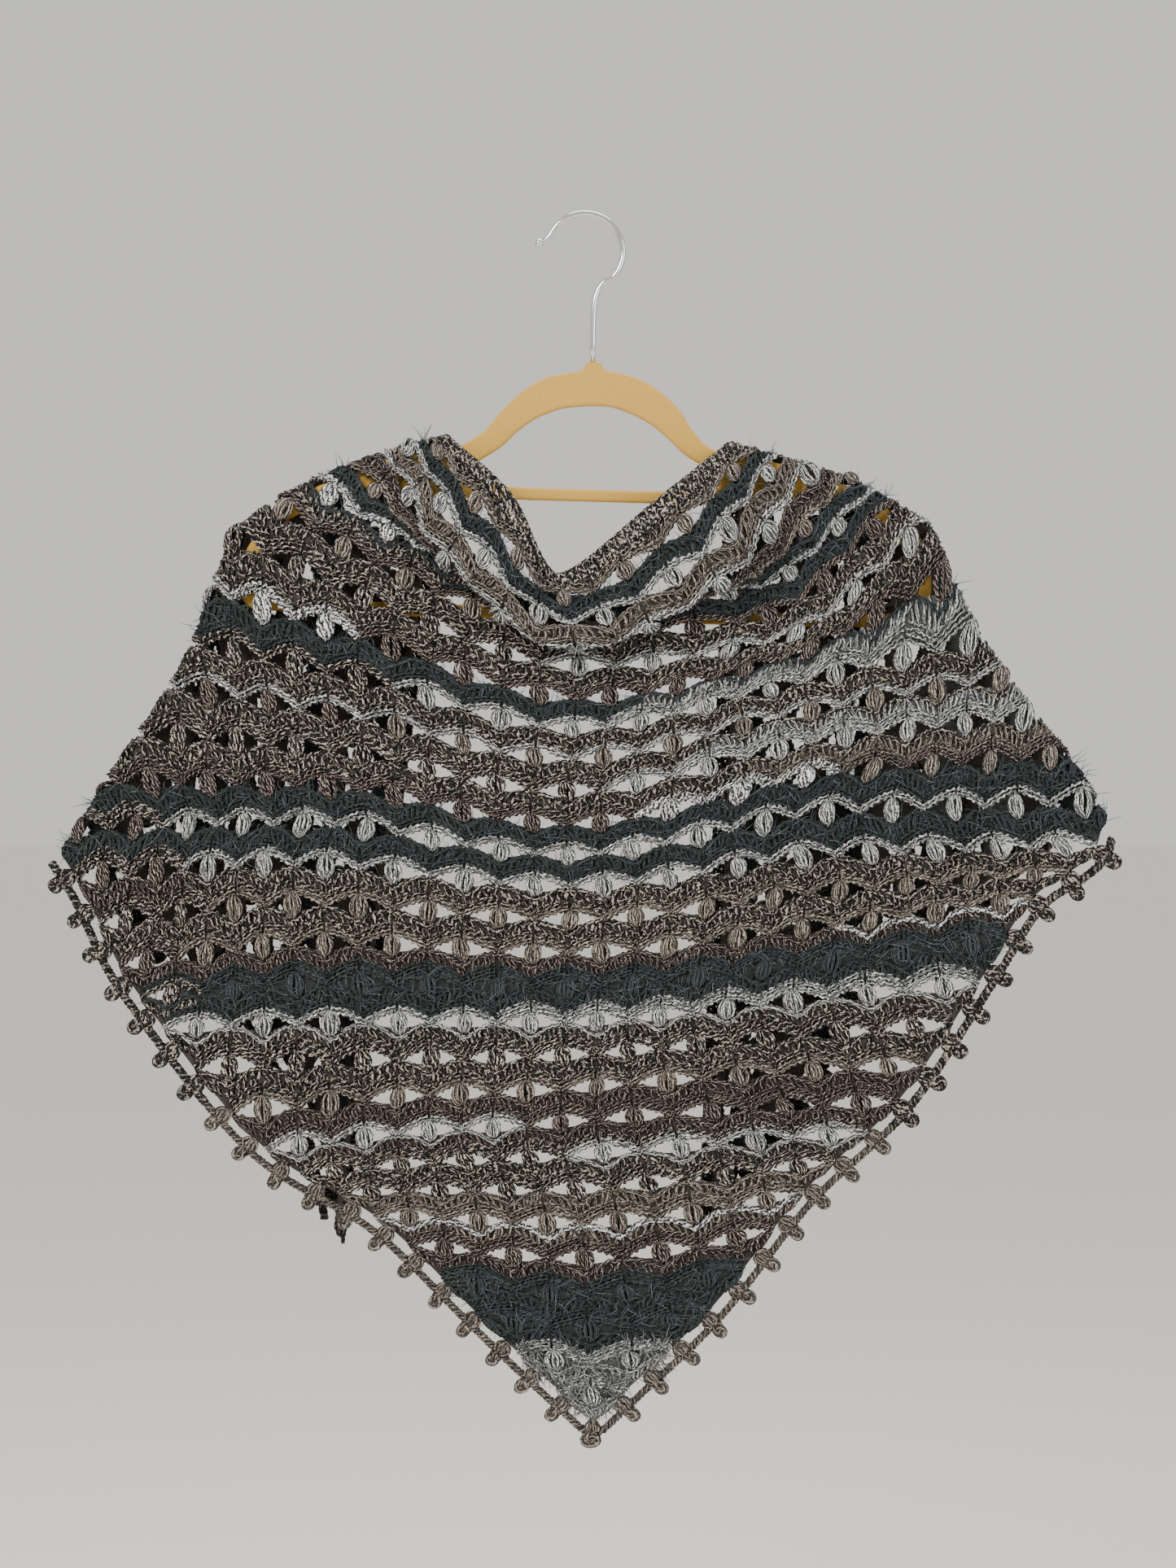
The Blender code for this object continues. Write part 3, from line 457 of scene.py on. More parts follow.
def grey(tree, value):
    """A grey with this value in red, green and blue."""
    node = tree.nodes.new("ShaderNodeCombineColor")
    for socket in node.inputs[:3]:
        tree.links.new(value, socket)
    return node.outputs[0]


def add_relief(tree, shader, height, strength, distance):
    """Bump from a height socket."""
    node = tree.nodes.new("ShaderNodeBump")
    node.inputs["Strength"].default_value = strength
    node.inputs["Distance"].default_value = distance
    tree.links.new(height, node.inputs["Height"])
    tree.links.new(node.outputs[0], shader.inputs["Normal"])


PLY_WANDER = 1.6
PLY_EDGE = 0.09
FLECK_HIGHLIGHT_FROM = 0.55
FLECK_HIGHLIGHT_TO = 0.68


def yarn_material(name, dark, light, fleck_and_highlight, plies, pitch, share, specks, broken, roughness):
    """Plies that wind round the strand: a wave of plies times the turn round it plus the
    length over the pitch, dark below and light above its threshold, broken up by specks,
    with bright flecks from fine noise, partly the yarn's white filaments and glitter and partly
    painted highlight, all times the point's shade, which carries painted crease shade, and
    the wave and a fine noise as its relief."""
    made, tree, shader = new_material(name)
    coords = tree.nodes.new("ShaderNodeUVMap")
    split = tree.nodes.new("ShaderNodeSeparateXYZ")
    tree.links.new(coords.outputs[0], split.inputs[0])
    tone = tree.nodes.new("ShaderNodeAttribute")
    tone.attribute_name = "shade"
    turns = calc(tree, "ADD", calc(tree, "MULTIPLY", split.outputs[0], plies),
                 calc(tree, "DIVIDE", split.outputs[1], pitch))
    turns = calc(tree, "ADD", turns, calc(tree, "MULTIPLY", noise(tree, 330.0), PLY_WANDER))
    wave = calc(tree, "SINE", calc(tree, "MULTIPLY", turns, 2 * math.pi))
    rough = calc(tree, "MULTIPLY", calc(tree, "SUBTRACT", noise(tree, specks, 3.0), 0.5), broken)
    ply = calc(tree, "ADD", calc(tree, "MULTIPLY", wave, 0.5), rough)
    lit = map_range(tree, ply, 0.5 - share - PLY_EDGE, 0.5 - share + PLY_EDGE, "SMOOTHSTEP")
    colour = blend_colours(tree, lit, dark, light)
    # Painted highlight, partly real filaments: flecks from fine noise lift the colour towards a
    # brighter copy of the light ply.
    hairs = map_range(tree, noise(tree, 1100.0, 3.0), FLECK_HIGHLIGHT_FROM, FLECK_HIGHLIGHT_TO)
    fleck_and_highlight_colour = tuple(min(0.85, c * 1.7 + 0.06) for c in light)
    colour = blend_colours(tree, calc(tree, "MULTIPLY", hairs, fleck_and_highlight), colour, fleck_and_highlight_colour)
    colour = blend_colours(tree, 1.0, colour, grey(tree, tone.outputs["Fac"]), "MULTIPLY")
    tree.links.new(colour, shader.inputs["Base Color"])
    add_relief(tree, shader, calc(tree, "ADD", wave, noise(tree, 900.0)), 0.8, 0.0008)
    shader.inputs["Roughness"].default_value = roughness
    shader.inputs["Specular IOR Level"].default_value = 0.6 - 0.45 * roughness
    return made


YARN_MATERIALS = {row[0]: yarn_material(**dict(zip(YARN_COLUMNS, row))) for row in YARNS}

# What each row is worked in, from the bottom tip: its fans, its puffs, its chains, and the
# band of stitches worked over the chains, which the next row stands on.
L, C, B, T, M, G = (YARNS[k][0] for k in (3, 0, 1, 2, 4, 5))
CHART_COLUMNS = ("row", "fan", "puff", "chain", "band")
CHART = [
    (1, L, L, L, L), (2, L, L, L, L), (3, M, M, M, M), (4, M, M, M, M), (5, B, B, B, B),
    (6, T, T, T, T), (7, T, C, C, C), (8, C, C, C, C), (9, B, B, B, B), (10, B, T, T, C),
    (11, C, C, C, C), (12, C, L, L, L), (13, M, M, M, M), (14, B, T, T, C), (15, C, T, T, C),
    (16, C, L, L, M), (17, M, L, L, M), (18, M, B, B, C), (19, C, C, C, C), (20, C, T, L, C),
    (21, C, L, L, M), (22, M, B, B, C), (23, C, L, L, C), (24, C, B, B, M), (25, M, L, L, M),
    (26, M, T, T, B), (27, B, L, L, T), (28, T, L, L, M), (29, M, T, T, C), (30, C, C, C, C),
]
# Where a row changes yarn part of the way along: the row, s from and to, the parts of the
# motif that change, and their yarn.
CHANGES = [
    (6, -3.2, 2.6, "rim", G), (8, 0.0, 5.0, "puff chain rim", L),
    (9, -5.0, -0.5, "puff chain rim", L), (12, -9.0, 9.0, "rim", L), (12, -9.0, -1.0, "band", M),
    (13, -9.0, -5.9, "fan puff chain", C), (14, -9.0, -6.0, "puff chain", B),
    (14, 4.0, 7.0, "rim", G), (15, -9.0, -6.0, "puff chain", C), (16, -9.0, -6.0, "fan puff", B),
    (16, -9.0, -6.0, "chain band", C), (17, -9.0, -6.3, "chain band", C),
    (17, -9.0, -6.5, "puff", B), (18, 1.0, 4.2, "puff chain", G), (18, 4.2, 9.0, "puff", T),
    (18, 3.0, 9.5, "band", T), (19, 1.0, 9.5, "puff chain", L), (19, 3.0, 9.5, "fan", T),
    (19, 2.0, 9.5, "band", L), (20, 2.0, 9.5, "fan", L), (20, -9.0, -3.5, "puff", B),
    (21, -10.0, -3.0, "puff chain", C), (21, 0.9, 9.5, "band", L), (22, 0.9, 9.5, "fan", L),
    (22, -5.5, -3.2, "puff chain", G), (23, -11.0, -0.5, "puff chain", C),
    (24, -12.0, -1.0, "puff", T), (24, -12.0, -1.6, "band", C), (25, -12.0, -1.6, "fan", C),
    (25, -4.2, -3.0, "puff chain", G),
]


def yarn_at(part, s, n):
    """The yarn of a part of the motif at its column s in row n. Where no change is given it
    is the chart's, and a rim's is that of the chart's fan."""
    for row, low, high, parts, yarn in CHANGES:
        if row == n and low <= s <= high and part in parts.split():
            return yarn
    return CHART[n - 1][CHART_COLUMNS.index("fan" if part == "rim" else part)]


# The lace's motif, in millimetres across, up and out from a puff's middle. A fan of posts
# spreads from the valley of the row below, and its rim dips under the puff that it carries.
# Two chains come down from the puff's top to the valleys, with a band worked over them.
PUFF_TALL = 12.4
PUFF_WIDE = 4.8
PUFF_DEEP = 3.0
PUFF_OUT = 2.4
PUFF_STRAND = 1.3
PUFF_ANGLES = (2, 37, 73, 107, 143, 178, 270)
CHAIN_TOP = 7.6
CHAIN_FOOT = 0.3
CHAIN_STRAND = 1.75
BAND_RISE = 4.0
LINK = 4.4
# Painted light: each part of the motif is made this much brighter than its yarn, the same yarn lit
# more on the puffs and chains.
PART_PAINTED_LIGHT = {"puff": 1.3, "chain": 1.25, "band": 1.1, "fan": 1.0, "rim": 1.2}
POSTS = 10
POST_STRAND = 1.75
WRAP_STRAND = 0.95
WRAP_HALF = 1.9
WRAP_RISE = 1.6
WRAP_OUT = 2.4
WRAP_DROP = 1.3
RIM_MIDDLE = -3.4
RIM_SIDE = -1.6
RIM_DIP = 6.0
DIP_HALF = 12.0
TUCKED_ROWS = (24, 25, 26)
GLITTER_THICKER = 1.5
LOWER_ROWS = range(1, 17)
UPPER_ROWS = range(17, LAST_ROW + 1)


def rim_height(a):
    """The fan's upper rim: lowest under the puff, rising to the valleys beside it."""
    return RIM_MIDDLE + (RIM_SIDE - RIM_MIDDLE) * (np.abs(a) / (REPEAT / 2)) ** 1.4


def chain_height(a):
    """The middle line of the chains: from the puff's top to the valley at its side."""
    return CHAIN_TOP + (CHAIN_FOOT - CHAIN_TOP) * (np.abs(a) / (REPEAT / 2)) ** 1.5


def lay(s0, n0, motif):
    """A motif's strands (strands, steps, 3) laid at every (s0, n0)."""
    s = s0[:, None, None] + motif[..., 0] / REPEAT
    n = n0[:, None, None] + motif[..., 1] / ROW
    n = np.clip(n, 0.3, TOP_ROW + 0.05)
    s = np.clip(s, -n / 2, n / 2)
    return on_cloth(s, n, motif[..., 2] + 0 * s)


def chain(line, out, steps):
    """Two strands side by side along a line (a, b): each swells and sways away from the
    line once in every link, so that the pair reads as a row of V shaped links."""
    far = np.concatenate([[0], np.cumsum(np.hypot(*np.diff(line, axis=0).T))])
    at = np.linspace(0, far[-1], steps)
    a, b = np.interp(at, far, line[:, 0]), np.interp(at, far, line[:, 1])
    way = unit(np.stack([np.gradient(a), np.gradient(b)], axis=-1))
    turn = 2 * np.pi * at / LINK
    swell = 0.5 + 0.5 * np.cos(turn)
    sway = np.array([[-1.0], [1.0]]) * (0.55 + 0.75 * (0.5 + 0.5 * np.cos(turn - 0.9)))
    rise = out + 0.7 * swell + 0 * sway
    shape = np.stack([a - way[:, 1] * sway, b + way[:, 0] * sway, rise], axis=-1)
    return shape, CHAIN_STRAND * (0.5 + 0.7 * swell)


def puffs(here):
    """Loops like the seams of a lantern, from foot to top: they bulge by a power of the
    sine of the way, and less where the row is tucked in the cowl."""
    count, loops = len(here), len(PUFF_ANGLES)
    t = np.linspace(0, 1, 7)
    bulge = 0.12 + 0.88 * np.sin(np.pi * t) ** 0.6
    angle = np.radians(PUFF_ANGLES)[None, :, None] + rng.uniform(-0.14, 0.14, (count, loops, 1))
    size = rng.uniform(0.88, 1.12, (count, 1, 1))
    lean = rng.uniform(-1.5, 1.5, (count, 1, 1))
    a = PUFF_WIDE * size * bulge * np.cos(angle) + lean * t
    tucked = np.isin(here[:, 1], TUCKED_ROWS) & (np.abs(here[:, 0]) < 4)
    rise = np.where(tucked, 0.4, 1.0)[:, None, None]
    o = rise * (PUFF_OUT + PUFF_DEEP * size * bulge * np.sin(angle))
    b = (t - 0.5) * PUFF_TALL * size + 0 * angle + rng.uniform(-0.5, 0.5, (count, loops, 1))
    return np.stack([a, b, o], axis=-1), PUFF_STRAND * (0.4 + 0.6 * np.sin(np.pi * t) ** 0.5)


def post_lines(here, steps):
    """Posts of the fans: their feet along the chains of the row below, closer together
    than their heads, which are spread along the rim."""
    t = np.linspace(0, 1, steps)
    head = np.linspace(-0.49, 0.49, POSTS)[:, None] * REPEAT
    head = head + rng.uniform(-0.8, 0.8, (len(here), POSTS, 1))
    foot = head * 0.74
    a = foot + (head - foot) * t ** 0.85
    limit = np.where(here[:, 1] == LAST_ROW + 1, (TOP_ROW - LAST_ROW - 1) * ROW - 0.8, 0.0)
    top = np.minimum(rim_height(head), limit[:, None, None])
    low = chain_height(REPEAT / 2 - np.abs(foot)) - ROW + BAND_RISE
    b = low + (top - low) * t
    o = 0.4 + 0.9 * np.sin(np.pi * t) + rng.uniform(-0.4, 0.4, (len(here), POSTS, 1))
    return a, b + 0 * a, o + 0 * a


def fans(here):
    a, b, o = post_lines(here, 5)
    lump = rng.uniform(0.82, 1.2, a.shape) * np.array([0.6, 1.0, 1.0, 1.0, 0.7])
    sway = rng.uniform(-0.5, 0.5, a.shape)
    return np.stack([a + sway, b, o], axis=-1), POST_STRAND * lump


def wraps(here):
    """The yarn wrapped once round each post: a short strand slanting over its front."""
    a, b, o = (v[:, ::2] for v in post_lines(here, 6))
    t = np.array([-1.0, 0.0, 1.0])
    at = rng.uniform(0.2, 0.8, a.shape[:2])[..., None]
    ca, cb = (v[..., :1] + (v[..., -1:] - v[..., :1]) * at for v in (a, b))
    turn = rng.choice([-1.0, 1.0], a.shape[:2])[..., None]
    tilt = turn * rng.uniform(0.6, 1.4, a.shape[:2])[..., None]
    lift = WRAP_OUT - WRAP_DROP * t * t + 0 * ca
    shape = np.stack([ca + WRAP_HALF * t, cb + tilt * WRAP_RISE * t, lift], axis=-1)
    return shape, WRAP_STRAND * np.array([0.6, 1.15, 0.6])


def links(here, rise, out, steps):
    """A row of links left and right of a puff's top, raised above the chains' middle."""
    a = np.linspace(0.8, REPEAT / 2, 9)
    arms, thick = zip(*(chain(np.stack([side * a, chain_height(a) + rise], axis=-1), out, steps)
                        for side in (-1, 1)))
    arms, thick = np.concatenate(arms), np.array(thick).repeat(2, axis=0)
    return np.broadcast_to(arms, (len(here),) + arms.shape), thick


def chains(here):
    """The two chains that come down from a puff's top."""
    return links(here, 0.0, 1.5, 14)


def bands(here):
    """The stitches worked over the chains."""
    return links(here, BAND_RISE, 0.6, 12)


def rims(here):
    """Two strands twisted round each other along the fan's rim, dipping under the puff."""
    a = np.linspace(-REPEAT / 2, REPEAT / 2, 13)
    turn = 2 * np.pi * (a / 9.0 + np.array([[0.0], [0.5]]))
    dip = np.clip(1 - np.abs(a) / DIP_HALF, 0, 1)
    b = rim_height(a) - RIM_DIP * dip + 1.0 * np.cos(turn)
    shape = np.stack([a + 0 * turn, b, 0.9 + 1.3 * dip + 0.9 * np.sin(turn)], axis=-1)
    return np.broadcast_to(shape, (len(here),) + shape.shape), 1.2 * np.ones(1)


def add_motifs(gathered, part, rows, motif_of, sides):
    """Lay one part of the motif at every column of the rows, each in its chart's yarn."""
    places = [(s, n) for n in rows for s in np.arange(n) - (n - 1) / 2]
    for yarn in sorted({yarn_at(part, s, n) for s, n in places}):
        here = np.array([p for p in places if yarn_at(part, *p) == yarn])
        motif, thick = motif_of(here)
        paths = lay(here[:, 0], here[:, 1], motif)
        count, each, steps = paths.shape[:3]
        thick = thick * (GLITTER_THICKER if yarn == G else 1.0)
        wide = np.broadcast_to(thick, (count, each, steps)).reshape(-1, steps)
        # Each strand's tone is random, times its part's painted light.
        tone = rng.uniform(0.8, 1.15, count * each) * PART_PAINTED_LIGHT[part]
        gathered.add(yarn, paths.reshape(-1, steps, 3), wide, sides, tone)


FIBRES_PER_MM = 0.16
CURLS_PER_MM = 0.8
CURL = 0.5
CURLY_ROWS = (1, 2)
FIBRE_LENGTHS = (4.0, 10.0)
FIBRE = 0.30


def fibres(paths, radius, share, thick):
    """Loose hairs, share for each millimetre of strand: each starts on a strand and curls
    away from it by the square of the way, and its thickness falls to a quarter."""
    length = np.linalg.norm(np.diff(paths, axis=1), axis=-1).sum(1)
    picks = rng.choice(len(paths), int(length.sum() * share), p=length / length.sum())
    at = rng.uniform(0.1, 0.9, len(picks)) * (paths.shape[1] - 1)
    k = at.astype(int)
    past = (at - k)[:, None]
    root = paths[picks, k] * (1 - past) + paths[picks, k + 1] * past
    heading = unit(rng.normal(size=(len(picks), 3)) * (1, 0.3, 1) + (0, -0.22, 0))
    bend = unit(rng.normal(size=(len(picks), 3)) * (1, 0.4, 1))
    long = rng.uniform(*FIBRE_LENGTHS, len(picks))[:, None, None]
    t = np.linspace(0, 1, 3)[:, None]
    start = root + heading * radius[picks, k][:, None] * 0.7
    lines = start[:, None] + heading[:, None] * long * t + bend[:, None] * long * 0.6 * t * t
    return lines, np.broadcast_to(thick * np.array([1.0, 0.85, 0.25]), lines.shape[:2])


HALVES = (("lower", LOWER_ROWS, []), ("upper", UPPER_ROWS, [LAST_ROW + 1]))
for part_of_shawl, rows, extra in HALVES:
    gathered = Strands()
    add_motifs(gathered, "puff", rows, puffs, 4)
    add_motifs(gathered, "chain", rows, chains, 3)
    add_motifs(gathered, "band", rows, bands, 3)
    add_motifs(gathered, "fan", [*rows, *extra], fans, 3)
    add_motifs(gathered, "fan", [*rows, *extra], wraps, 3)
    add_motifs(gathered, "rim", rows, rims, 3)
    # Mohair hairs: their tone is 3.5 to 8 times the yarn's, a painted sheen on the halo.
    for paths, radius, _, _ in list(gathered.batches[M]):
        hairs, thin = fibres(paths, radius, FIBRES_PER_MM, FIBRE)
        gathered.add(M, hairs, thin, 3, rng.uniform(3.5, 8.0, len(hairs)))
    if part_of_shawl == "lower":
        tip = Strands()
        add_motifs(tip, "fan", CURLY_ROWS, fans, 3)
        add_motifs(tip, "chain", CURLY_ROWS, chains, 3)
        for paths, radius, _, _ in tip.batches[L]:
            hairs, thin = fibres(paths, radius, CURLS_PER_MM, CURL)
            gathered.add(L, hairs, thin, 3, rng.uniform(0.8, 1.7, len(hairs)))
    for yarn in sorted(gathered.batches):
        piece = gathered.build(part_of_shawl + "_" + yarn, yarn, YARN_MATERIALS[yarn])


# The cloth's ground. A thin closed shell lies in the middle of the crochet from edge to
# edge and closes what lies between the posts. The lace's gaps are open in it from row 5
# up, but not beside a mohair puff. Its colour is painted shade: the yarn's dark ply with
# only a little of its light ply, darker on the outer skin, as shade between the stitches.
GROUND_WALL = 1.1
# The light ply's share in the outer and the inner skin: painted shade between the stitches.
GROUND_PAINTED_SHADE_TONES = (0.12, 0.34)
GROUND_COLUMNS = (0.0, 0.07, 0.25, 0.43, 0.5, 0.57, 0.75, 0.93)
GAP_FROM = 0.07
GAP_TO = 0.43
OPEN_FROM_ROW = 5
FAN_LINES = ((0.66, 0.34), (0.33, 0.67))


def ground_lines(a):
    """Heights in mm above a row of the lines across it, at distances a from the nearest
    puff: the fan's rim, the middle of the gap, the chain, and two up the next row's fan."""
    rim, arch = rim_height(a), chain_height(a)
    next_rim = rim_height(REPEAT / 2 - a) + ROW
    return [rim, (rim + arch) / 2, arch] + [arch * low + next_rim * high for low, high in FAN_LINES]


def ground_mesh():
    """One layer of quads over (s, n), its gaps left out: the s and n of its points and its
    kept cells, to be thickened both ways along the cloth's normal and walled round every
    free edge by thicken."""
    s = (np.arange(-15, 15)[:, None] + np.array(GROUND_COLUMNS)).ravel()
    lines, kinds = [], []
    for n in range(1, LAST_ROW + 1):
        a = np.abs(puff_offset(s, n)) * REPEAT
        for k, height in enumerate(ground_lines(a)):
            lines.append(n + height / ROW)
            kinds.append((n, k))
    lines.append(LAST_ROW + 1 + rim_height(np.abs(puff_offset(s, LAST_ROW + 1)) * REPEAT) / ROW)
    kinds.append((LAST_ROW + 1, 0))
    rows = np.clip(np.array(lines), 0.45, TOP_ROW)
    across = np.clip(np.broadcast_to(s, rows.shape), -rows / 2, rows / 2)
    index = np.arange(rows.size).reshape(rows.shape)
    cells = np.stack([index[:-1, :-1], index[:-1, 1:], index[1:, 1:], index[1:, :-1]], axis=-1)
    wide = (across[:-1, 1:] - across[:-1, :-1]) + (across[1:, 1:] - across[1:, :-1])
    tall = (rows[1:, 1:] - rows[:-1, 1:]) + (rows[1:, :-1] - rows[:-1, :-1])
    keep = (wide > 1e-4) & (tall > 1e-4)
    middle = (s[1:] + s[:-1]) / 2
    for line, (n, k) in enumerate(kinds[:-1]):
        near = np.abs(puff_offset(middle, n))
        gap = (k < 2) & (near > GAP_FROM) & (near < GAP_TO) & (n >= OPEN_FROM_ROW)
        gap &= np.array([yarn_at("puff", s, n) != M for s in middle])
        keep[line] &= ~(gap & (np.abs(middle) < n / 2 - 0.05))
    return across.ravel(), rows.ravel(), cells[keep]


def thicken(points, normals, cells, wall):
    """Both skins of a layer of quads and the walls along its free edges."""
    used, cells = np.unique(cells, return_inverse=True)
    cells = cells.reshape(-1, 4)
    points, normals = points[used], normals[used]
    edges = np.stack([cells, np.roll(cells, -1, axis=1)], axis=-1).reshape(-1, 2)
    code = np.sort(edges, axis=1) @ np.array([len(points), 1])
    _, first, count = np.unique(code, return_index=True, return_counts=True)
    free = edges[first[count == 1]]
    both = np.concatenate([points + normals * wall / 2, points - normals * wall / 2])
    back = cells[:, ::-1] + len(points)
    walls = np.stack([free[:, 1], free[:, 0], free[:, 0] + len(points), free[:, 1] + len(points)],
                     axis=-1)
    return both, np.concatenate([cells, back, walls]), used


def ground_material():
    """The yarn's colour at each place, already darkened as painted shade, and darkened
    further between the posts by a fine noise as painted shade.
    """
    made, tree, shader = new_material("crochet ground")
    colour = tree.nodes.new("ShaderNodeAttribute")
    colour.attribute_name = "painted_shade_yarn_colour"
    # Painted shade between the posts: a fine noise darkens the colour.
    painted_shade_speck = grey(tree, calc(tree, "MULTIPLY", noise(tree, 1100.0, 3.0), 0.9))
    tree.links.new(blend_colours(tree, 1.0, colour.outputs["Color"], painted_shade_speck, "MULTIPLY"),
                   shader.inputs["Base Color"])
    add_relief(tree, shader, noise(tree, 700.0, 3.0), 0.8, 0.001)
    shader.inputs["Roughness"].default_value = 0.9
    return made


ground_s, ground_n, ground_cells = ground_mesh()
ground_points = on_cloth(ground_s, ground_n, 0 * ground_s)
ground_normals = on_cloth(ground_s, ground_n, 0 * ground_s + 1) - ground_points
ground_points, ground_faces, ground_used = thicken(ground_points, ground_normals, ground_cells,
                                                   GROUND_WALL)
ground = put_mesh("ground", ground_points, ground_faces.ravel(),
                  np.arange(len(ground_faces)) * 4, np.zeros((ground_faces.size, 2)),
                  np.ones(len(ground_points)), ground_material())
fan_rows = np.clip(np.ceil(ground_n[ground_used] - 0.15).astype(int), 1, LAST_ROW + 1)
ground_yarns = [yarn_at("fan", s, n) for s, n in zip(ground_s[ground_used], fan_rows)]
# Painted shade: each skin gets its yarn's dark ply plus a small share of its light ply, the outer skin
# darker.
painted_shade_tint = np.ones((2, len(ground_used), 4))
for skin, tone in zip(painted_shade_tint, GROUND_PAINTED_SHADE_TONES):
    painted_shade_skin_tones = {row[0]: np.array(row[1]) + np.array(row[2]) * tone for row in YARNS}
    skin[:, :3] = [painted_shade_skin_tones[yarn] for yarn in ground_yarns]
tones = ground.data.attributes.new("painted_shade_yarn_colour", "FLOAT_COLOR", "POINT")
tones.data.foreach_set("color", painted_shade_tint.astype(np.float32).ravel())
shape = bmesh.new()
shape.from_mesh(ground.data)
bmesh.ops.remove_doubles(shape, verts=shape.verts, dist=2e-5)
bmesh.ops.dissolve_degenerate(shape, edges=shape.edges, dist=1e-5)
shape.to_mesh(ground.data)
shape.free()


# The neck border. Two rows of V stitches in coarse marl run along the shawl's long edge,
# round the neck in front and down both hidden ends, closed by two strands along the top.
BORDER_ROWS = (29.72, 29.96)
BORDER_TOP_ROW = 30.12
STITCH = 6.2
STITCH_STRAND = 1.7
STITCH_TALL = 6.4
STITCHES_TO = 14.8
TOP_LINE_TO = 14.85
TOP_LINE_STEPS = 900
TOP_LINE_STRAND = 1.3


def edge_line(row, low, high, count):
    """Points and their distances along a row of the cloth, for s from low to high."""
    s = np.linspace(low, high, count)
    points = on_cloth(s, 0 * s + row, 0 * s)
    far = np.concatenate([[0], np.cumsum(np.linalg.norm(np.diff(points, axis=0), axis=1))])
    return s, far


def border_stitches(row, tall, phase):
    """V stitches: each has two strands from one foot to two heads half a stitch away."""
    s, far = edge_line(row, -STITCHES_TO, STITCHES_TO, 2400)
    middle = np.arange(STITCH * (0.5 + phase), far[-1] - STITCH, STITCH)
    t = np.linspace(0, 1, 5)
    paths = []
    for side in (-1, 1):
        along = middle[:, None] + side * STITCH * (0.08 + 0.50 * t)
        where = np.interp(along, far, s)
        rise = row + (t - 0.5) * tall / ROW + 0 * where
        paths.append(on_cloth(where, rise, 1.3 * np.sin(np.pi * t) + 0.9 - 0.6 * t + 0 * where))
    return np.concatenate(paths)


border = Strands()
for row, phase in zip(BORDER_ROWS, (0.0, 0.5)):
    paths = border_stitches(row, STITCH_TALL, phase)
    wide = np.broadcast_to(STITCH_STRAND * np.array([0.7, 1, 1.1, 1, 0.75]), paths.shape[:2])
    border.add(C, paths, wide, 4, rng.uniform(0.8, 1.15, len(paths)))
s, far = edge_line(BORDER_TOP_ROW, -TOP_LINE_TO, TOP_LINE_TO, TOP_LINE_STEPS)
for turn in (0.0, 0.5):
    angle = 2 * np.pi * (far / STITCH + turn)
    line = on_cloth(s, BORDER_TOP_ROW + 0.8 * np.cos(angle) / ROW - 0.04, 0.5 + np.sin(angle))
    border.add(C, line[None], np.full((1, TOP_LINE_STEPS), TOP_LINE_STRAND), 4, np.ones(1))
border_piece = border.build("neck_border_stitches", C, YARN_MATERIALS[C])
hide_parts("neck_border", "left_wing_border", "right_wing_border")


# The picot edging. A twisted cord follows both side edges, tied to them at every pitch by
# a cluster of posts that ends in a knob. Marl above, taupe round the tip.
PICOT_PITCH = 25.5
CORD_OUT = 8.1
CORD_STRAND = 1.6
CORD_WIND = 1.25
MEASURED_OUT = 6.0
EDGE_POST_STRAND = 1.45
KNOB_STRAND = 1.5
TIP_TURN = 0.45
EDGE_LEAST_ROW = 0.3
EDGE_INSET = 0.98
POST_INNER = 0.5
CORD_LIGHT = 0.6
KNOB_LIGHT = 0.75
KNOB_FOOT = 8.6
KNOB_HEAD = 13.5
KNOB_WIDE = 3.0
KNOB_DEEP = 2.4
RINGS = ((13.2, 2.7, 1.2, 0.0), (15.2, 2.2, -0.6, 2.0), (14.2, 2.5, 0.2, 4.1))
RING_STRAND = 1.9
MARL_THICKER = 1.22
WING_ROWS = np.array([17.5, *range(18, 30), TOP_ROW])
TAUPE_FROM = -10.5
TAUPE_TO = 8.5


def shawl_edge(way):
    """The shawl's side edge: way counts rows up it, below nought on the left."""
    free = drape(way / 2, np.maximum(np.abs(way), EDGE_LEAST_ROW))
    side = np.sign(way)
    behind = np.stack([np.interp(np.abs(way), WING_ROWS, drape(k * WING_ROWS / 2, WING_ROWS)[:, j])
                       for k in (-1, 1) for j in range(3)], axis=-1).reshape(-1, 2, 3)
    behind = np.where(side[:, None] < 0, behind[:, 0], behind[:, 1])
    return np.where(np.abs(way)[:, None] < FIRST_FOLDED_ROW, free, behind)


def edge_frames(way):
    """The edge's points with the outward direction in the cloth and the cloth's normal."""
    d = 0.05
    found = []
    for shift in (-1, 1):
        e = np.where(np.abs(way) < TIP_TURN, shift * TIP_TURN, way)
        tangent = shawl_edge(e + d) - shawl_edge(e - d)
        s, n = e / 2 * EDGE_INSET, np.maximum(np.abs(e), EDGE_LEAST_ROW)
        normal = on_cloth(s, n, 0 * e + 1) - on_cloth(s, n, 0 * e)
        found.append((unit(np.cross(tangent, normal)), normal))
    t = np.clip((way + TIP_TURN) / (2 * TIP_TURN), 0, 1)[:, None]
    out = unit(found[0][0] * (1 - t) + found[1][0] * t)
    normal = found[0][1] * (1 - t) + found[1][1] * t
    return shawl_edge(way), out, unit(normal - out * (normal * out).sum(-1, keepdims=True))


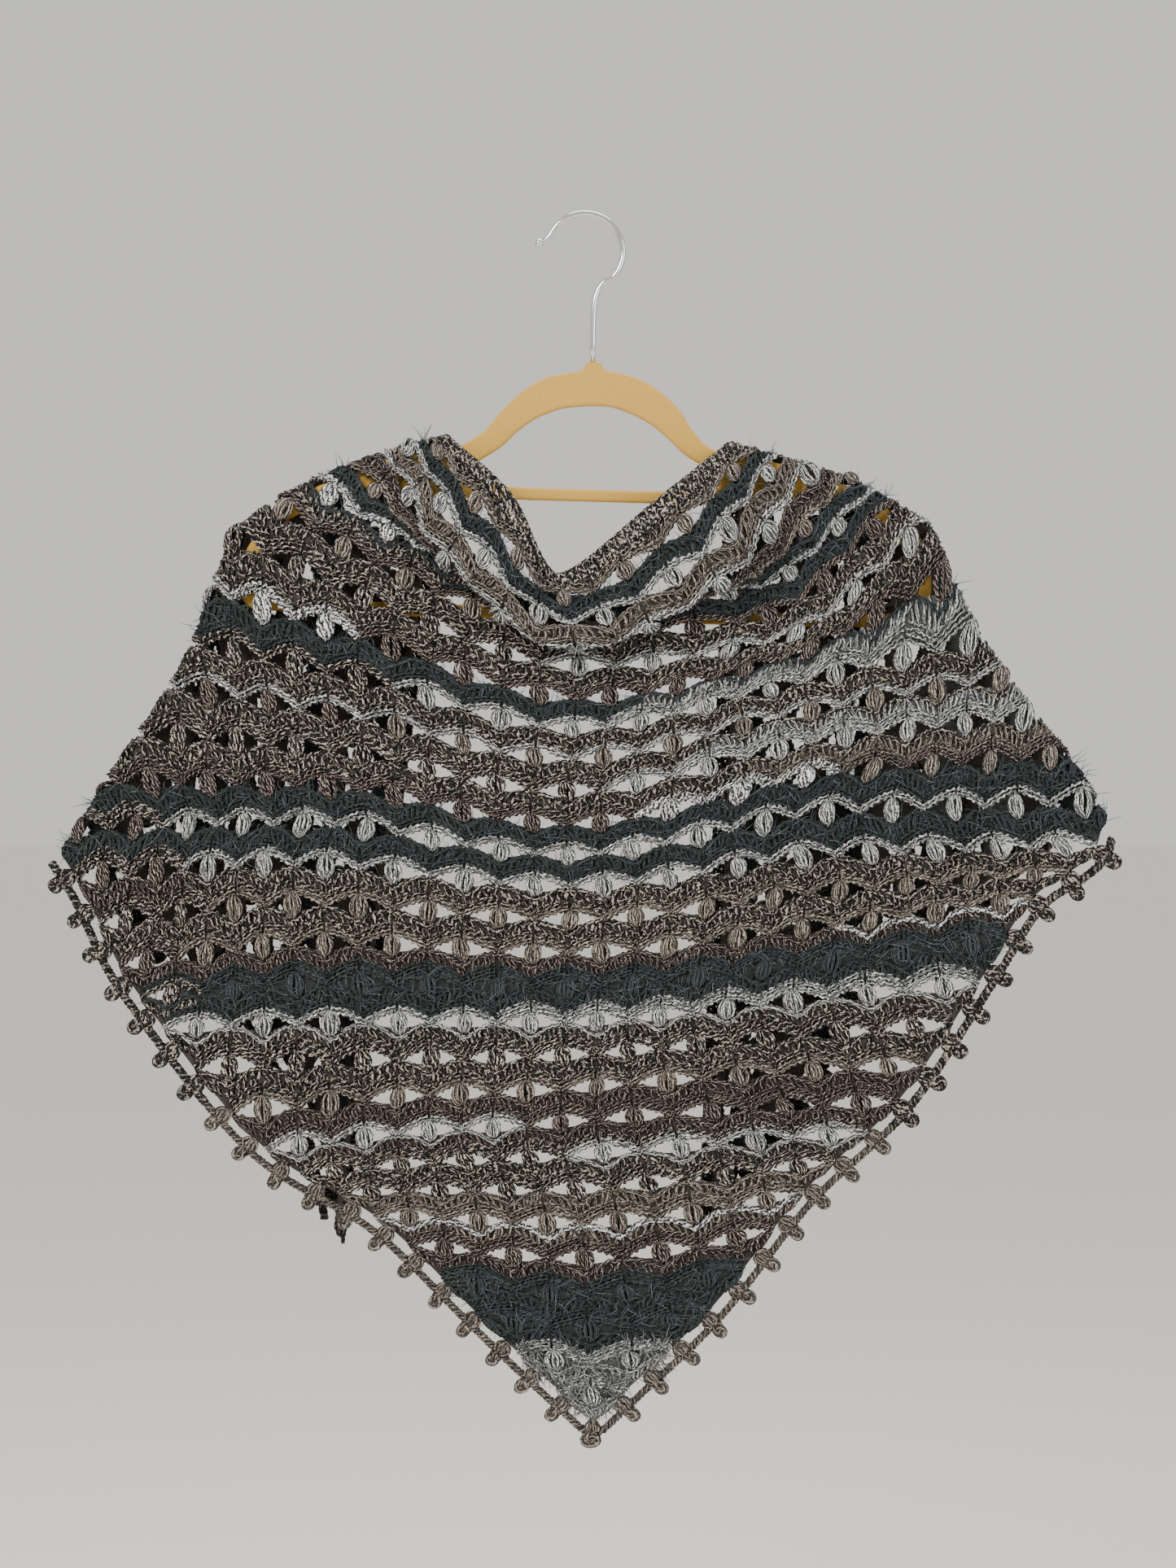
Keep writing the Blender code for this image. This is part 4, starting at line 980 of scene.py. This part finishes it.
def edging(low, high, offset):
    """One stretch of the edging, laid along the edge by distance: for each pitch five
    posts, a knob of six loops with three rings round its head, and two strands of cord
    wound round each other."""
    way = np.linspace(low, high, 1200)
    base, out, normal = edge_frames(way)
    cord = base + out * MEASURED_OUT
    length = np.concatenate([[0], np.cumsum(np.linalg.norm(np.diff(cord, axis=0), axis=1))])
    zero = np.interp(offset, way, length)
    pitches = np.arange(np.ceil((length[0] - zero) / PICOT_PITCH + 0.5),
                        np.floor((length[-1] - zero) / PICOT_PITCH - 0.5) + 1)

    def place(along, reach, lift):
        at = np.interp(along, length, way)
        spot, outward, up = (np.stack([np.interp(at, way, v[:, k]) for k in range(3)], axis=-1)
                             for v in (base, out, normal))
        return spot + outward * reach[..., None] + up * lift[..., None]

    def spread(pieces, middle, paths, radius, sides, light):
        at = np.interp(middle, length, way)
        taupe = (at > TAUPE_FROM) & (at < TAUPE_TO)
        for yarn, chosen in ((T, taupe), (C, ~taupe)):
            if chosen.any():
                some = paths[chosen].reshape(-1, *paths.shape[-2:])
                wide = np.broadcast_to(radius, paths.shape[:-1])[chosen].reshape(some.shape[:2])
                wide = wide * (MARL_THICKER if yarn == C else 1.0)
                pieces.add(yarn, some, wide, sides, rng.uniform(0.85, 1.15, len(some)) * light)

    made = Strands()
    middle = zero + pitches * PICOT_PITCH
    count = len(middle)
    t = np.linspace(0, 1, 6)
    post = np.linspace(-1, 1, 5)[:, None]
    sway = post * (1.6 + 3.0 * np.sin(np.pi * t) ** 0.8)
    along = middle[:, None, None] + sway
    reach = POST_INNER + (CORD_OUT + 0.6 - POST_INNER) * t + 0 * along
    lift = 0.6 + 1.6 * np.sin(np.pi * t) * (1 - 0.5 * post ** 2) + 0 * along
    spread(made, middle, place(along, reach, lift), EDGE_POST_STRAND * np.ones(6), 5, KNOB_LIGHT)
    t = np.linspace(0, 1, 5)
    bulge = 0.4 + 0.6 * np.sin(np.pi * t) ** 0.8
    angle = (2 * np.pi * np.arange(6) / 6)[None, :, None] + rng.uniform(-0.2, 0.2, (count, 6, 1))
    tilt = rng.uniform(-1.2, 1.2, (count, 1, 1))
    along = middle[:, None, None] + KNOB_WIDE * bulge * np.cos(angle) + tilt * t
    reach = KNOB_FOOT + (KNOB_HEAD - KNOB_FOOT) * (t + 0 * angle)
    lift = KNOB_DEEP * bulge * np.sin(angle)
    wide = KNOB_STRAND * (0.6 + 0.4 * bulge)
    spread(made, middle, place(along, reach, lift), wide, 5, KNOB_LIGHT)
    for ring_middle, ring, rise, lean in RINGS:
        turn = np.linspace(0, 2 * np.pi * 1.06, 14) + rng.uniform(0, 6, (count, 1, 1))
        size = rng.uniform(0.9, 1.1, (count, 1, 1))
        along = middle[:, None, None] + tilt + ring * size * np.cos(turn)
        reach = ring_middle + ring * size * np.sin(turn)
        lift = rise + 1.1 * np.cos(turn + lean)
        spread(made, middle, place(along, reach, lift), RING_STRAND * np.ones(14), 5, KNOB_LIGHT)
    at = np.linspace(0, 1, 21)
    for start in (0.0, 0.5):
        along = middle[:, None, None] + (at - 0.5) * PICOT_PITCH
        wind = 2 * np.pi * ((along - middle[0]) / (PICOT_PITCH / 4) + start)
        reach, lift = CORD_OUT + CORD_WIND * np.cos(wind), CORD_WIND * np.sin(wind)
        spread(made, middle, place(along, reach, lift), CORD_STRAND * np.ones(21), 5, CORD_LIGHT)
    return made


# Each stretch's node, the rows it runs from and to, and where its pitches are counted from.
EDGINGS = [("front_edging", -16.75, 16.75, 0.0), ("left_wing_edging", -29.5, -17.75, -17.75),
           ("right_wing_edging", 17.75, 29.5, 17.75)]
for node, low, high, offset in EDGINGS:
    made = edging(low, high, offset)
    for yarn in made.batches:
        label = node + ("_marl" if yarn == C else "_taupe")
        piece = made.build(label, yarn, YARN_MATERIALS[yarn])
        if yarn == C:
            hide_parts(node)

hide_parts("front_drape", "left_wing", "right_wing")


# The hanger: a flat moulding in mustard flock, its edges rounded all round, under the
# cloth at both arms, with a bent chrome wire for its hook that ends in a small ball.
HANGER_THICKNESS = 5.0
HANGER_ROUNDING = 2.2
ARM_DEPTH = 12.0
ARM_CLEARANCE = 3.4
BORDER_CLEARANCE = 4.2
HOOK_WIRE = 3.7
HOOK_RADIUS = 24.0
HOOK_BALL = 5.6


def arm_top(side):
    """The arm's upper edge: the fold line of the cloth, moved down by the clearance."""
    n = np.array([30.2, 29.2, 28.0, 27.0, 26.0, 25.0, 24.0, 23.0])
    fold = drape(side * fold_s(np.full(n.shape, side), n), n)[:, [0, 2]]
    along = np.gradient(fold, axis=0)
    down = unit(np.stack([along[:, 1], -along[:, 0]], axis=-1) * side)
    clearance = np.where(n > TOP_ROW, BORDER_CLEARANCE, ARM_CLEARANCE)
    return fold + down * clearance[:, None]


def hanger_outlines():
    """The hanger's outer outline and its two windows, as (x, z) in millimetres."""
    right_arm, left_arm = arm_top(1), arm_top(-1)
    boss = [(1.0, -91.4), (9.8, -91.4)]
    arch_right = [(12.1, -96.8), (22.0, -98.2), (31.5, -101.0), (40.9, -105.3), (53.7, -115.0),
                  (60.8, -123.2), (66.4, -132.9), (73.5, -141.5), (81.0, -147.0)]
    arch_left = [(-80.0, -145.0), (-72.8, -141.0), (-63.6, -135.5), (-57.5, -128.3),
                 (-49.4, -118.6), (-36.6, -107.4), (-24.9, -101.2), (-12.0, -98.4), (-1.4, -96.8)]
    right_end = [(214.5, -206.0), (217.0, -215.0), (217.5, -240.0), (214.5, -253.0),
                 (206.0, -259.5)]
    left_end = [(-206.0, -248.2), (-214.5, -242.0), (-217.0, -232.0), (-216.5, -219.0),
                (-213.5, -210.0)]
    outer = (boss + arch_right + [tuple(p) for p in right_arm[:-1]] + right_end + left_end
             + [tuple(p) for p in left_arm[:-1][::-1]] + arch_left)
    arch_window = [(-60.1, -149.7), (-51.9, -144.6), (-42.2, -134.9), (-30.7, -126.7),
                   (-15.4, -120.6), (1.0, -119.1), (16.2, -119.3), (30.2, -124.4),
                   (42.9, -131.3), (53.7, -141.0), (61.8, -149.2), (72.5, -156.0),
                   (84.0, -162.0), (84.0, -173.7), (-72.0, -169.3), (-72.0, -157.0)]
    lower_window = [(-90.0, -176.5), (94.0, -181.5)]
    lower_window += [tuple(p + (0, -ARM_DEPTH)) for p in right_arm[4:-1]]
    lower_window += [(204.0, -215.0), (208.0, -224.0), (208.0, -240.0), (202.0, -251.5),
                     (-201.0, -240.0), (-207.0, -234.0), (-207.5, -226.0), (-204.0, -217.0)]
    lower_window += [tuple(p + (0, -ARM_DEPTH)) for p in left_arm[4:-1][::-1]]
    return [outer, arch_window, lower_window]


def cut_corners(points, closed, times=2):
    """Corner cutting: each side keeps its middle 60 percent, so corners turn
    into short arcs."""
    points = np.array(points, float)
    for _ in range(times):
        after = np.roll(points, -1, axis=0)
        pair = np.stack([0.8 * points + 0.2 * after, 0.2 * points + 0.8 * after], axis=1)
        cut = pair.reshape(-1, points.shape[1])
        points = cut if closed else np.concatenate([points[:1], cut[1:-3], points[-1:]])
    return points


def plain_material(name, colour, roughness, metallic, sheen, grain):
    """A plain finish with a fine grain in its relief and a faint one in its colour."""
    made, tree, shader = new_material(name)
    deep = tuple(c * 0.8 for c in colour)
    tree.links.new(blend_colours(tree, noise(tree, 1500.0, 3.0), deep, colour),
                   shader.inputs["Base Color"])
    add_relief(tree, shader, noise(tree, 2500.0, 3.0), grain, 0.0003)
    shader.inputs["Roughness"].default_value = roughness
    shader.inputs["Metallic"].default_value = metallic
    shader.inputs["Sheen Weight"].default_value = sheen
    return made


curve = bpy.data.curves.new("hanger outline", "CURVE")
curve.dimensions = "2D"
curve.fill_mode = "BOTH"
curve.extrude = (HANGER_THICKNESS / 2 - HANGER_ROUNDING) * MM
curve.bevel_depth = HANGER_ROUNDING * MM
curve.bevel_resolution = 4
curve.offset = -HANGER_ROUNDING * MM
for outline in hanger_outlines():
    outline = cut_corners(outline, True)
    spline = curve.splines.new("POLY")
    spline.points.add(len(outline) - 1)
    spline.points.foreach_set("co", np.stack([outline[:, 0] * MM, outline[:, 1] * MM,
                                              0 * outline[:, 0], 1 + 0 * outline[:, 0]],
                                             axis=-1).ravel())
    spline.use_cyclic_u = True
drawn = add_object("hanger outline", curve)
bpy.context.view_layer.update()
mesh = bpy.data.meshes.new_from_object(drawn.evaluated_get(bpy.context.evaluated_depsgraph_get()))
bpy.data.objects.remove(drawn)
flat = np.empty(len(mesh.vertices) * 3, np.float32)
mesh.vertices.foreach_get("co", flat)
flat = flat.reshape(-1, 3)
mesh.vertices.foreach_set("co", np.stack([flat[:, 0], -flat[:, 2], flat[:, 1]], axis=-1).ravel())
shape = bmesh.new()
shape.from_mesh(mesh)
bmesh.ops.remove_doubles(shape, verts=shape.verts, dist=1e-6)
bmesh.ops.recalc_face_normals(shape, faces=shape.faces)
shape.to_mesh(mesh)
shape.free()
mesh.materials.clear()
mesh.materials.append(plain_material("mustard flock", (0.68, 0.40, 0.078), 0.95, 0.0, 0.0, 0.9))
mesh.shade_smooth()
mesh.set_sharp_from_angle(angle=math.radians(50))
hanger = add_object("velvet_hanger", mesh)
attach(hanger, "root")
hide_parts("hanger_body")

stem = [(4.9, -91.6), (5.1, -72.0), (5.4, -60.0), (6.2, -52.0), (8.6, -45.5), (12.2, -41.0)]
around = np.radians(np.arange(-44.0, 141.0, 5.5))
bow = np.stack([np.cos(around), np.sin(around)], axis=-1) * HOOK_RADIUS
bow[:, 1] -= HOOK_RADIUS - HOOK_WIRE / 2
tail = [(-20.9, -10.4), (-22.9, -13.6), (-25.6, -15.9), (-28.6, -16.9)]
bend = cut_corners(np.concatenate([stem, bow, tail]), False)
heading = unit(bend[-1] - bend[-2])
ball = np.linspace(-1, 1, 13)[1:]
line = np.concatenate([bend[:-1], bend[-1] + heading * ball[:, None] * HOOK_BALL / 2])
thick = np.concatenate([np.full(len(bend) - 1, HOOK_WIRE / 2),
                        np.sqrt(np.maximum(1 - ball ** 2, 0.01)) * HOOK_BALL / 2])
wire = np.stack([line[:, 0], 0 * line[:, 0], line[:, 1]], axis=-1)[None]
hook = put_mesh("chrome_hook", *tube_arrays(wire, thick[None], np.array([[0.0, 1.0, 0.0]]), 20),
                np.ones(wire.shape[1] * 20),
                plain_material("polished chrome", (0.78, 0.78, 0.79), 0.12, 1.0, 0.0, 0.0))
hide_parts("hook_wire")


# The studio: a pale floor well below, broad soft lights, and a camera at the angle of
# the photograph. Its distance is an estimate.
CAMERA_AT = (0.002, -1.8, -0.356)
CAMERA_LENS = 65.9
FLOOR_Z = -1.25
FLOOR_REACH = 40

floor_mesh = bpy.data.meshes.new("floor")
floor_corners = [(x * FLOOR_REACH, y * FLOOR_REACH, FLOOR_Z)
                 for x, y in ((-1, -1), (1, -1), (1, 1), (-1, 1))]
floor_mesh.from_pydata(floor_corners, [], [(0, 1, 2, 3)])
floor = add_object("floor", floor_mesh)
pale = bpy.data.materials.new("pale floor")
pale.use_nodes = True
pale_shader = pale.node_tree.nodes["Principled BSDF"]
pale_shader.inputs["Base Color"].default_value = (0.95, 0.93, 0.89, 1)
pale_shader.inputs["Roughness"].default_value = 0.95
floor_mesh.materials.append(pale)
# Each light's name, place, aim, size in metres, watts and colour.
LIGHTS = [
    ("key", (-1.3, -2.1, 1.1), (0, 0, -0.40), 1.2, 65, (1.0, 0.97, 0.93)),
    ("fill", (1.9, -1.7, 0.1), (0, 0, -0.40), 1.8, 24, (0.93, 0.96, 1.0)),
    ("top", (0.2, 0.6, 1.6), (0, 0, -0.35), 1.6, 34, (1.0, 1.0, 1.0)),
]
for name, place, aim, size, watts, colour in LIGHTS:
    light = bpy.data.lights.new(name, "AREA")
    light.shape, light.size = "DISK", size
    light.energy, light.color = watts, colour
    lamp = add_object(name, light)
    lamp.location = place
    direction = np.array(aim) - np.array(place)
    across = math.atan2(direction[1], direction[0]) - math.pi / 2
    rise = math.atan2(direction[2], math.hypot(direction[0], direction[1]))
    lamp.rotation_euler = (math.pi / 2 + rise, 0, across)
world = bpy.data.worlds.new("studio")
bpy.context.scene.world = world
world.use_nodes = True
world.node_tree.nodes["Background"].inputs[0].default_value = (0.86, 0.84, 0.80, 1)
world.node_tree.nodes["Background"].inputs[1].default_value = 0.91
view = bpy.data.cameras.new("camera")
view.lens = CAMERA_LENS
camera = add_object("camera", view)
camera.location = CAMERA_AT
camera.rotation_euler = (math.pi / 2, 0, 0)
bpy.context.scene.camera = camera
